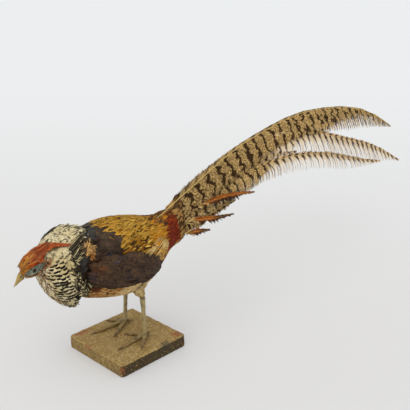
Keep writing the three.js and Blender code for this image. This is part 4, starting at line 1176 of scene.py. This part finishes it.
def makeCrest(materials):
    tree, _, _ = treeOf(["head", "neck", "ruff"], -1.2)
    rows = np.array(crestLine, float)
    run = np.concatenate([[0], np.cumsum(np.linalg.norm(np.diff(rows[:, :3], axis=0), axis=1))])
    at = rowCurve(np.concatenate([run[:, None], rows], 1))
    count = crestSpec["strands"]
    begin = run[-1] * 0.86 * rng.random(count) ** 0.95
    reach = rng.uniform(14, 34, count) * np.clip((run[-1] - begin) / 34, 0.3, 1)
    across = rng.uniform(-1, 1, count)
    sunk = rng.random(count) ** 1.5

    def place(s, share, low):  # a point on the plume, kept clear of the head and the cape
        row = at(s)
        ridge, edge = row[:, :3], row[:, 3:].copy()
        right = share > 0
        edge[right, 1] = 2 * ridge[right, 1] - edge[right, 1]
        a = np.abs(share)[:, None]
        want = ridge + (edge - ridge) * np.concatenate([a**2, a, a**2], 1)
        want[:, 2] -= low * crestSpec["depth"] * np.clip((run[-1] - s) / 60, 0.25, 1)
        found, out = nearest(tree, want)
        inside = ((want - found) * out).sum(1) < 0.5
        return np.where(inside[:, None], found + out * (0.5 + 0.8 * (1 - low))[:, None], want), out
    root, outRoot = place(begin, across * 0.96, np.minimum(sunk + 0.25, 1))
    middle, _ = place(begin + reach * 0.5, across + 0.08 * rng.normal(size=count), sunk - 0.15)
    tip, outTip = place(np.minimum(begin + reach, run[-1] + 3), across + 0.16 * rng.normal(size=count), sunk + 0.2 * rng.normal(size=count))
    colour = mixIn(np.tile(np.array(plumage["crown"]), (count, 1)), plumage["crownDark"], rng.random(count) ** 1.3)
    colour = mixIn(colour, dye(236, 116, 36), rng.random(count) ** 2.2)
    colour = mixIn(colour, dye(64, 22, 8), (rng.random(count) < 0.30) * 0.9)
    colour = mixIn(colour, dye(236, 160, 92), (rng.random(count) < 0.10) * 0.8)
    lowTuft = near(tip, (-162, -17, 231), (9, 7, 7))
    colour = mixIn(colour, dye(226, 140, 78), lowTuft * (rng.random(count) < 0.7))
    colour = mixIn(colour, plumage["forehead"], np.clip((9 - begin) / 5, 0, 1))
    points, quads, vane, (s, t) = vanes(root, middle, tip, outRoot, outTip, rng.uniform(0.8, 1.7, count), blunt=0.25, rows=6, columns=3, arch=0.2, ragged=0.05, start=0.5, sweep=0.2)
    per = len(s) * len(t)
    centre = np.stack([0.5 + 0.46 * across, 0.03 + 0.94 * begin / run[-1]], 1)
    values = {"vane": vane, "look": spreadLook((0.5, 0.0, 0.0), count, per), "dye": np.repeat(dyed(colour, 0.12), per, 0)}
    crest = addPiece("crest_plume", points, quads, materials["silk"], values, patchMap(centre, (0.01, 0.01), s, t))
    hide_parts("crest")


# ---- legs, feet and claws ----
def makeFeet(materials):
    for name, ankle in (("left", (18, -27, 31)), ("right", (26, 37, 31))):
        for part in (f"shank_{name}", f"foot_{name}"):
            points, normals, quads = fineCopy([part], 0.62, 0.0, 2, 0.30)
            away = np.linalg.norm((points - np.array(ankle)) * np.array([1, 1, 0.6]), axis=1)
            along = points[:, 2] if part.startswith("shank") else away
            pitch = 3.0 if part.startswith("shank") else 2.3
            phase = along / pitch + 0.12 * roughness3(points, 5, 2)
            ridge = np.abs((phase % 1.0) - 0.5) * 2
            front = np.clip(0.35 - normals[:, 0], 0, 1) if part.startswith("shank") else np.clip(normals[:, 2] + 0.3, 0, 1)
            scale = 0.28 * (1 - ridge**4) * (0.3 + 0.7 * front)
            toeShare = 0.0 if part.startswith("shank") else 1.0
            pad = 0.0 if part.startswith("shank") else 0.42 * np.cos(away * 2 * np.pi / 12.5) * np.clip((away - 6) / 6, 0, 1)
            points = points + normals * (scale + pad - 0.12 + 0.34 * toeShare + 0.10 * roughness3(points, 1.3, 3))[:, None]
            base = np.tile(np.array(dye(182, 164, 112)), (len(points), 1))
            toes = np.clip((37 - points[:, 2]) / 9, 0, 1)
            base = mixIn(base, dye(152, 124, 66), toes)
            base = mixIn(base, dye(80, 62, 32), (ridge > 0.8) * 0.6)
            base = mixIn(base, dye(78, 58, 30), 0.14 + 0.7 * roughness3(points, 7, 5))
            piece = addPiece(part + "_scales", points, quads, materials["horn"], {"dye": np.concatenate([base, np.ones((len(base), 1))], 1)}, boxMap(points, normals))
            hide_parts(part)
        for toe in ("middle", "inner", "outer", "hind"):
            part = f"claw_{name}_{toe}"
            points, normals, quads = fineCopy([part], 0.34, 0.0, 1, 0.06)
            base = np.tile(np.array(dye(92, 68, 36)), (len(points), 1))
            base = mixIn(base, dye(136, 110, 70), np.clip((points[:, 2] - 25) / 3, 0, 1) * 0.5)
            piece = addPiece(part + "_horn", points, quads, materials["horn"], {"dye": np.concatenate([base, np.ones((len(base), 1))], 1)}, boxMap(points, normals))
            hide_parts(part)


# ---- board ----
boardSpec = {
    "smudge": (26, -68, 20),
    "worn": [((-73, -73, 14), (7, 7, 9)), ((62, -60, 23), (12, 10, 3)), ((-50, 64, 23), (20, 7, 3)), ((-74, 20, 22), (5, 12, 4))],  # to the old red paint
    "grime": [((70, -66, 18), (13, 13, 9)), ((22, -30, 23), (12, 7, 3)), ((76, 10, 22), (5, 60, 5)), ((-74, -66, 6), (18, 22, 8))],
}


def makeBoard(materials):
    low, high = (np.array(c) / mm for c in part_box("base_board"))
    points, normals, quads = fineCopy(["base_board"], 1.25, 0.0, 0, 0.15)
    middle, half = (low + high) / 2, (high - low) / 2
    inset = np.sort(half - np.abs(points - middle), axis=1)
    edge = np.clip(1 - inset[:, 1] / 3.0, 0, 1)  # 1 on the board's edges and corners
    corner = np.clip(1 - np.abs(np.abs(points[:, 0]) - half[0]) / 12, 0, 1) * np.clip(1 - np.abs(np.abs(points[:, 1]) - half[1]) / 12, 0, 1)
    grit = 0.22 * roughness3(points, 1.9, 3) + 0.18 * rng.normal(size=len(points)) + 0.30 * roughness3(points, 11, 6)
    grit = np.where(normals[:, 2] < -0.7, 0, grit)
    chipped = edge * np.clip(roughness3(points, 7, 9) - 0.25, 0, 1)
    points = points + normals * (grit - 1.1 * chipped)[:, None]
    points[:, 2] = np.maximum(points[:, 2], 0.05)
    wear = np.clip(edge * 2.2 * (roughness3(points, 9, 1) - 0.55) + (edge + 0.2) * corner * (0.9 + 1.2 * roughness3(points, 4, 2)), 0, 1)
    for place, size in boardSpec["worn"]:
        wear = np.maximum(wear, near(points, place, size) * np.clip(0.7 + 1.3 * roughness3(points, 3.5, 7), 0, 1))
    smudge = np.clip(near(points, (boardSpec["smudge"]), (13, 6, 9)) * (1.1 + 0.8 * roughness3(points, 3, 5)), 0, 1)
    grime = sum(near(points, place, size) for place, size in boardSpec["grime"]) * (0.6 + 0.6 * roughness3(points, 5, 8))
    smudge = np.clip(smudge + 0.55 * np.clip(grime, 0, 1), 0, 1)
    # the third channel, how far each point faces up, sets where the sides' grime and painted shade go
    values = {"dye": np.stack([np.clip(wear, 0, 1), smudge, np.clip(normals[:, 2], 0, 1), np.ones(len(points))], 1)}
    board = addPiece("board_grit", points, quads, materials["board"], values, boxMap(points, normals))
    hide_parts("base_board")


# ---- tail ----
tailSpec = {
    # narrow: the web above the shaft; closed: the depth below it that stays shut; both by share of the length
    "first": {"narrow": [(0, 10), (0.045, 15), (0.11, 12), (0.17, 7), (0.24, 4), (0.8, 2.5), (1, 0.8)], "closed": [(0, 60), (0.5, 60), (0.6, 38), (0.7, 18), (0.84, 7), (0.93, 2), (1, 0.3)],
              "crisp": 0.0, "period": 26.0},
    "second": {"narrow": [(0, 6), (0.3, 6), (0.4, 10), (0.7, 9), (0.9, 5), (1, 1.5)], "closed": [(0, 60), (0.34, 50), (0.42, 20), (0.52, 10), (1, 3)], "crisp": 1.0, "period": 21.0, "from": 398, "droop": 1.12},
    "third": {"narrow": [(0, 6), (0.15, 8), (0.6, 8), (0.9, 5), (1, 1.5)], "closed": [(0, 60), (0.26, 40), (0.36, 7), (1, 3)], "crisp": 1.0, "period": 21.0, "from": 404, "droop": 1.4},
    "fourth": {"narrow": [(0, 6), (0.6, 7), (1, 1.5)], "closed": [(0, 20), (0.5, 10), (1, 2)], "crisp": 0.0, "period": 16.0, "torn": 0.5, "dusk": 1.0},
    "spear": {"narrow": [(0, 6), (0.4, 8), (1, 1)], "closed": [(0, 9), (0.4, 5), (1, 1)], "crisp": 0.0, "period": 18.0, "bend": 1.6, "torn": 0.3, "clump": 4.5,
              "droop": 1.65, "finish": "spear", "shaft": (0.7, 0.3), "dusk": {"upper": 0.8, "middle": 1.25, "lower": 1.35}},
    "spacing": 0.5, "shaft": (2.5, 0.45), "steps": 7, "forward": [(62, 13.5, 229.5), (80, 10.5, 232.6), (104, 7, 240)],
}


def sheetOf(nodeName):  # a thin upright solid's outline and outer face, station by station
    points = np.array([v.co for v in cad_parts[nodeName].data.vertices]) / mm
    keys = np.round(points[:, 0], 1)
    rows = []
    for x in np.unique(keys):
        ring = points[keys == x]
        low, high = ring[:, 2].min(), ring[:, 2].max()
        if high - low < 0.5:
            continue
        levels = np.linspace(high, low, 6)
        outer = [np.abs(ring[np.abs(ring[:, 2] - level) < (high - low) / 4.5 + 0.2, 1]).max() for level in levels]
        rows.append([x, high, low, *outer])
    return np.array(rows)


def onSheet(rows, side, x, down):  # the point at x, a share of the way down the sheet
    high, low = np.interp(x, rows[:, 0], rows[:, 1]), np.interp(x, rows[:, 0], rows[:, 2])
    levels = np.stack([np.interp(x, rows[:, 0], rows[:, 3 + k]) for k in range(6)], -1)
    at = np.clip(down, 0, 1) * 5
    i = np.minimum(at.astype(int), 4)
    a, b = (np.take_along_axis(levels, i[..., None] + k, -1)[..., 0] for k in (0, 1))
    return np.stack([x, side * (a + (b - a) * (at - i)), high + (low - high) * down], -1)


def barbs(rows, side, spec, below):  # one ribbon for each barb of a web; towards the rim they come apart in clumps
    first, last = rows[0, 0], rows[-1, 0]
    spacing, steps = tailSpec["spacing"], tailSpec["steps"]
    count = int((last - first) / spacing)
    narrow, closed = np.array(spec["narrow"], float), np.array(spec["closed"], float)

    def webAbove(x):
        height = np.interp(x, rows[:, 0], rows[:, 1] - rows[:, 2])
        return np.minimum(np.interp((x - first) / (last - first), narrow[:, 0], narrow[:, 1]), height * 0.45), height
    root = np.linspace(first, last - 1.5, count) + rng.uniform(-0.2, 0.2, count)
    share = (root - first) / (last - first)
    above, height = webAbove(root)
    depth = (height - above) if below else above
    bend = spec.get("bend", 0.30) * depth + (3.0 if below else 5.0)
    group = np.floor(root / spec.get("clump", 6.0) + 0.8 * np.sin(root * 0.7))
    _, member = np.unique(group, return_inverse=True)
    cutoff = rng.uniform(0.88, 1.0, count) * rng.uniform(spec.get("torn", 0.88) if below else 0.5, 1.0, member.max() + 1)[member]
    if below and spec["crisp"]:  # the pale feathers have lost many of their barbs' ends
        kept = np.interp(share, closed[:, 0], closed[:, 1]) / np.maximum(depth, 1)
        cutoff = np.where((rng.random(count) < 0.45) & (root > 400), np.minimum(kept + rng.uniform(0.02, 0.3, count), cutoff), cutoff * spec["droop"])
    elif below:
        cutoff = cutoff * spec.get("droop", 1.0) * rng.uniform(spec.get("torn", 1.0) * 0.5 + 0.5, 1.0, count)
    middle = (np.bincount(member, root) / np.bincount(member))[member]
    s = np.linspace(0, 1, steps + 1)[None, :] * cutoff[:, None]
    shut = np.interp(share, closed[:, 0], closed[:, 1])[:, None] if below else depth[:, None] * 0.35
    loose = np.clip((s * depth[:, None] - shut) / np.maximum(depth[:, None] - shut, 6), 0, 1) * (shut < depth[:, None])
    x = root[:, None] + bend[:, None] * (1 - np.exp(-2.6 * s)) / 0.926 + (middle - root)[:, None] * (0.06 * s + 0.80 * loose**1.2)
    x = np.minimum(x, last + 1.0)
    aboveAt, heightAt = webAbove(x)
    shaftShare = aboveAt / np.maximum(heightAt, 0.5)
    down = shaftShare + (1 - shaftShare) * s**1.1 if below else shaftShare * (1 - s**0.9)
    place = onSheet(rows, side, x, down)
    hidden = np.clip((spec.get("from", 0) - x) / 20, 0, 1)  # here the longest feather lies over this one
    place[..., 1] += side * (0.10 * rng.normal(size=(count, 1)) + loose * 1.3 * rng.normal(size=(count, 1)) - 0.35 - 0.9 * hidden)
    place[..., 1] = side * np.maximum(side * place[..., 1], 0.35)
    ahead = unit(np.gradient(place, axis=1))
    out = unit(np.stack([np.full_like(x, 0.10), np.full_like(x, side * 1.0), np.full_like(x, 0.2)], -1))
    width = (spacing * 1.9 * (1 - loose) + 0.34 * loose) * (1 - 0.15 * s) + 0.05
    width[:, -1] *= 0.4
    half = (width * 0.5)[..., None] * unit(np.cross(ahead, out))
    points = np.stack([place - half, place + half], 2)
    vane, look = np.ones((*points.shape[:3], 4)), np.ones((*points.shape[:3], 4))
    vane[..., 0] = (root / spec["period"])[:, None, None] / 8
    vane[..., 1] = ((s * depth[:, None] * (1 if below else -1)) / 120 + 0.25)[..., None]
    vane[..., 2] = (0.35 * rng.random(count) + 0.65 * rng.random(member.max() + 1)[member])[:, None, None]
    look[..., 0] = spec["crisp"] * np.clip((x - 345) / 70, 0, 1)[..., None]
    look[..., 1], look[..., 2] = loose[..., None], (share * spec.get("dusk", 0))[:, None, None]
    return points.reshape(-1, 3), vane.reshape(-1, 4), look.reshape(-1, 4)


def webFeather(name, nodeName, side, spec, materials):
    rows = sheetOf(nodeName)
    first, last, steps = rows[0, 0], rows[-1, 0], tailSpec["steps"]
    points, vane, look = (np.concatenate(part) for part in zip(barbs(rows, side, spec, True), barbs(rows, side, spec, False)))
    k = np.arange(steps)
    quad = np.stack([2 * k, 2 * k + 1, 2 * k + 3, 2 * k + 2], 1)
    quads = (np.arange(len(points) // (2 * steps + 2))[:, None, None] * (2 * steps + 2) + quad[None]).reshape(-1, 4)
    low, high = rows[:, 2].min() - 1, rows[:, 1].max() + 1
    uv = np.stack([0.01 + 0.98 * (points[:, 0] - first) / (last - first + 3), 0.01 + 0.98 * (points[:, 2] - low) / (high - low)], 1)
    web = addPiece(name, points, quads, materials[spec.get("finish", "tail")], {"vane": vane, "look": look}, np.clip(uv, 0, 1))
    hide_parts(nodeName)
    narrow = np.array(spec["narrow"], float)
    xs = np.linspace(max(first, spec.get("from", 0)), last - 2, 150)
    height = np.interp(xs, rows[:, 0], rows[:, 1] - rows[:, 2])
    above = np.minimum(np.interp((xs - first) / (last - first), narrow[:, 0], narrow[:, 1]), height * 0.45)
    path = onSheet(rows, side, xs, above / height)
    path[:, 1] = side * np.maximum(np.abs(path[:, 1]) - 0.1, 0.6)
    size = spec.get("shaft", tailSpec["shaft"])
    radii = size[0] / 2 + (size[1] - size[0]) / 2 * ((xs - first) / (last - first)) ** 0.7
    if "_first_" in name:  # the longest feather's shaft shows over the back before its web begins
        reach = 0 if side < 0 else 2  # the right one stays under the coverts
        path = np.concatenate([np.array(tailSpec["forward"])[reach:] * [1, side, 1] - [0, 0, reach * 3], path])
        radii = np.concatenate([[0.9, 1.1, 1.1][reach:], radii])
    p, *faces = tubeMesh(path, radii, 8, up=(0, side, 0.05), flatten=0.6 if "_first_" in name else 0.35)
    p, faces = joined([(p, *faces)])
    addSolid(name + "_shaft", p, faces, materials["straw"])


def makeTail(materials):
    for side, name in ((-1, "left"), (1, "right")):
        for which in ("first", "second", "third", "fourth"):
            webFeather(f"tail_feather_{which}_{name}", f"tail_{which}_{name}", side, tailSpec[which], materials)
        for which in ("upper", "middle", "lower"):
            spec = dict(tailSpec["spear"], dusk=tailSpec["spear"]["dusk"][which])
            webFeather(f"spear_{which}_{name}", f"covert_{which}_{name}", side, spec, materials)


# ---- finishes ----
def dyedMaterial(name, roughness, grainScale, grainDark, relief, distance, **constants):  # horn, scales and glass: a dye, fine grain
    material, tree, shader = startMaterial(name, roughness, **constants)
    colour = node(tree, "ShaderNodeAttribute", attribute_type="GEOMETRY", attribute_name="dye").outputs["Color"]
    if grainScale:
        grain = noise(tree, objectPlace(tree), grainScale, 4.0, 0.6)
        colour = blendColour(tree, calc(tree, "MULTIPLY", fade(tree, grain, 0.35, 0.7), grainDark), colour, (0.04, 0.03, 0.02))
        feed(tree, shader.inputs["Normal"], bump(tree, grain, relief, distance))
        feed(tree, shader.inputs["Roughness"], calc(tree, "ADD", roughness - 0.1, calc(tree, "MULTIPLY", grain, 0.25)))
    feed(tree, shader.inputs["Base Color"], colour)
    return material


def boardMaterial():
    material, tree, shader = startMaterial("grittyBoard", 0.92)
    masks = node(tree, "ShaderNodeAttribute", attribute_type="GEOMETRY", attribute_name="dye")
    split = node(tree, "ShaderNodeSeparateColor")
    tree.links.new(masks.outputs["Color"], split.inputs[0])
    place = objectPlace(tree)
    coarse = fade(tree, noise(tree, place, 90.0, 4.0, 0.65), 0.35, 0.68)
    fine = fade(tree, noise(tree, place, 420.0, 4.0, 0.8), 0.43, 0.56)
    colour = blendColour(tree, coarse, dye(178, 146, 82), dye(214, 182, 118))
    colour = blendColour(tree, calc(tree, "MULTIPLY", fine, 0.70), colour, dye(104, 78, 32))
    faces = node(tree, "ShaderNodeSeparateXYZ")
    tree.links.new(node(tree, "ShaderNodeNewGeometry").outputs["True Normal"], faces.inputs[0])
    # grime on all the board's sides, with painted shade added on the sides that face -Y
    sideGrimeAndShade = calc(tree, "MULTIPLY", fade(tree, split.outputs[2], 0.7, 0.2), calc(tree, "ADD", 0.30, calc(tree, "MULTIPLY", fade(tree, faces.outputs["Y"], -0.3, -0.8), 0.62)))
    colour = blendColour(tree, sideGrimeAndShade, colour, dye(44, 32, 10))
    specks = fade(tree, noise(tree, place, 520.0, 1.0, 0.5), 0.66, 0.70)
    colour = blendColour(tree, calc(tree, "MULTIPLY", specks, 0.8), colour, dye(214, 172, 96))
    colour = blendColour(tree, calc(tree, "MULTIPLY", split.outputs[1], 0.8), colour, dye(58, 56, 46))
    colour = blendColour(tree, calc(tree, "MULTIPLY", split.outputs[0], 0.8), colour, dye(150, 62, 28))
    shed = useGroup(tree, groups["settledDust"], Color=colour, Amount=0.20, Dust=(0.44, 0.34, 0.17))
    feed(tree, shader.inputs["Base Color"], shed.outputs["Color"])
    feed(tree, shader.inputs["Normal"], bump(tree, calc(tree, "ADD", fine, coarse), 0.6, 0.0008))
    return material


def tailMaterial(name, spear=False):
    material, tree, shader = startMaterial(name, 0.75, **{"Specular IOR Level": 0.12})
    v = vaneValues(tree)
    turns = calc(tree, "MULTIPLY", v["along"], 8.0)  # bars passed since the bird's middle
    depth = calc(tree, "MULTIPLY", calc(tree, "SUBTRACT", v["across"], 0.25), 120.0)
    crisp, loose = v["tone"], v["mark"]
    shake = noise(tree, vector3(tree, calc(tree, "MULTIPLY", turns, 1.3), calc(tree, "MULTIPLY", depth, 0.085), 0.0), 1.0, 2.0, 0.5)
    calm = calc(tree, "SUBTRACT", 1.0, calc(tree, "MULTIPLY", crisp, 0.7))
    phase = calc(tree, "ADD", turns, calc(tree, "MULTIPLY", calc(tree, "MULTIPLY", calc(tree, "SUBTRACT", shake, 0.5), calc(tree, "ADD", 1.2, calc(tree, "MULTIPLY", fade(tree, turns, 15.0, 20.0), 0.9))), calm))
    saw = calc(tree, "ABSOLUTE", calc(tree, "SUBTRACT", calc(tree, "FRACT", phase), 0.5))
    fine = noise(tree, vector3(tree, calc(tree, "MULTIPLY", turns, 12.0), calc(tree, "MULTIPLY", depth, 0.44), 4.0), 1.0, 2.0, 0.5, 0.8)
    rough = calc(tree, "ADD", saw, calc(tree, "MULTIPLY", calc(tree, "SUBTRACT", fine, 0.5), calc(tree, "MULTIPLY", calm, 0.22)))
    rough = calc(tree, "SUBTRACT", rough, calc(tree, "MULTIPLY", calc(tree, "MULTIPLY", fade(tree, depth, 17.0, 0.0), crisp), 0.07))
    bar = fade(tree, calc(tree, "ADD", rough, calc(tree, "MULTIPLY", crisp, 0.005)), 0.168, 0.122)
    out = fade(tree, turns, 6.0, 13.0)
    worm = calc(tree, "MULTIPLY", fade(tree, fine, 0.45, 0.51), calc(tree, "SUBTRACT", calc(tree, "SUBTRACT", 1.0, calc(tree, "MULTIPLY", out, 0.10)), crisp), True)
    upper = fade(tree, depth, 1.5, -0.5)
    worm = calc(tree, "MULTIPLY", worm, calc(tree, "SUBTRACT", 1.0, calc(tree, "MULTIPLY", upper, 0.3)))
    bar = calc(tree, "MULTIPLY", bar, calc(tree, "SUBTRACT", 1.0, calc(tree, "MULTIPLY", calc(tree, "MULTIPLY", upper, calc(tree, "SUBTRACT", 1.0, crisp)), 0.25)))
    pale = blendColour(tree, upper, dye(250, 226, 188), dye(226, 188, 136))
    base = blendColour(tree, crisp, blendColour(tree, out, dye(228, 190, 122), dye(244, 204, 132)), pale)
    base = blendColour(tree, calc(tree, "MULTIPLY", worm, 0.85), base, blendColour(tree, out, dye(64, 38, 10), dye(78, 48, 12)))
    base = blendColour(tree, calc(tree, "MULTIPLY", loose, 0.55), base, dye(240, 220, 186))
    barTone = calc(tree, "MULTIPLY", bar, calc(tree, "SUBTRACT", 0.96, calc(tree, "MULTIPLY", loose, 0.45)))
    colour = blendColour(tree, barTone, base, blendColour(tree, crisp, dye(50, 28, 8), dye(70, 42, 18)))
    if spear:
        orange = blendColour(tree, fade(tree, fine, 0.35, 0.65), dye(206, 118, 42), dye(132, 66, 20))
        under = calc(tree, "ADD", depth, calc(tree, "MULTIPLY", calc(tree, "SUBTRACT", fine, 0.5), 7.0))
        orange = blendColour(tree, fade(tree, under, 2.2, 4.6), orange, dye(52, 30, 14))
        orange = blendColour(tree, calc(tree, "MULTIPLY", fade(tree, v["seed"], 0.5, 0.8), 0.6), orange, dye(72, 40, 16))
        colour = blendColour(tree, fade(tree, calc(tree, "ADD", v["extra"], calc(tree, "MULTIPLY", shake, 0.25)), 0.28, 0.42), colour, orange)
        colour = blendColour(tree, calc(tree, "MULTIPLY", fade(tree, v["extra"], 0.62, 0.85), 0.9), colour, dye(62, 34, 16))
    else:
        colour = blendColour(tree, calc(tree, "MULTIPLY", fade(tree, v["extra"], 0.15, 0.6), 0.6), colour, dye(60, 34, 14))
    tint = calc(tree, "MULTIPLY", v["seed"], 0.26)
    feed(tree, shader.inputs["Base Color"], blendColour(tree, tint, colour, dye(50, 32, 14)))
    return material


def makeMaterials():
    groups["barbGrain"] = barbGrainGroup()
    groups["settledDust"] = dustGroup()
    black = dye(24, 16, 8)
    return {
        "soft": plumageMaterial("hairyPlumage", dye(58, 36, 14), roughness=0.8, lines=9.0, grain=0.38, dust=0.05),
        "dark": plumageMaterial("darkPlumage", dye(22, 16, 12), roughness=0.6, lines=16.0, grain=0.45, dust=0.12, relief=0.4, hem=0.55),
        "stiff": plumageMaterial("flankPlumage", dye(112, 78, 36), roughness=0.7, lines=30.0, grain=0.34, dust=0.03),
        "ruff": plumageMaterial("ruffPlumage", black, roughness=0.72, lines=14.0, grain=0.22, dust=0.03),
        "silk": plumageMaterial("crestSilk", dye(90, 34, 12), roughness=0.5, lines=22.0, grain=0.32, dust=0.04, shine=0.2),
        "horn": dyedMaterial("hornAndScale", 0.5, 700.0, 0.35, 0.3, 0.0003),
        "eye": dyedMaterial("glassEye", 0.1, 0, 0, 0, 0, **{"Specular IOR Level": 0.3, "Coat Weight": 0.1}),
        "board": boardMaterial(),
        "tail": tailMaterial("barredTail"),
        "spear": tailMaterial("spearCoverts", True),
        "straw": strawMaterial(),
    }


def strawMaterial():
    material, tree, shader = startMaterial("strawShaft", 0.4)
    along = noise(tree, stretched(tree, objectPlace(tree), (40, 40, 40)), 1.0, 3.0)
    feed(tree, shader.inputs["Base Color"], blendColour(tree, along, dye(214, 184, 112), dye(176, 142, 78)))
    fine = noise(tree, stretched(tree, objectPlace(tree), (200, 3000, 3000)), 1.0, 2.0)
    feed(tree, shader.inputs["Normal"], bump(tree, fine, 0.3, 0.0002))
    return material


makeCamera()
makeRoom()
finishes = makeMaterials()
makeBoard(finishes)
makeFeet(finishes)
makeSkin()
makeBodyCoat(finishes)
makeFlankPlumes(finishes)
makeThighFeathers(finishes)
makeWings(finishes)
makeRuff(finishes)
makeRuffFringe(finishes)
makeBreastTuft(finishes)
makeFaceFeathers(finishes)
makeEyes(finishes)
makeBill(finishes)
makeCrest(finishes)
makeTail(finishes)
bpy.context.view_layer.update()
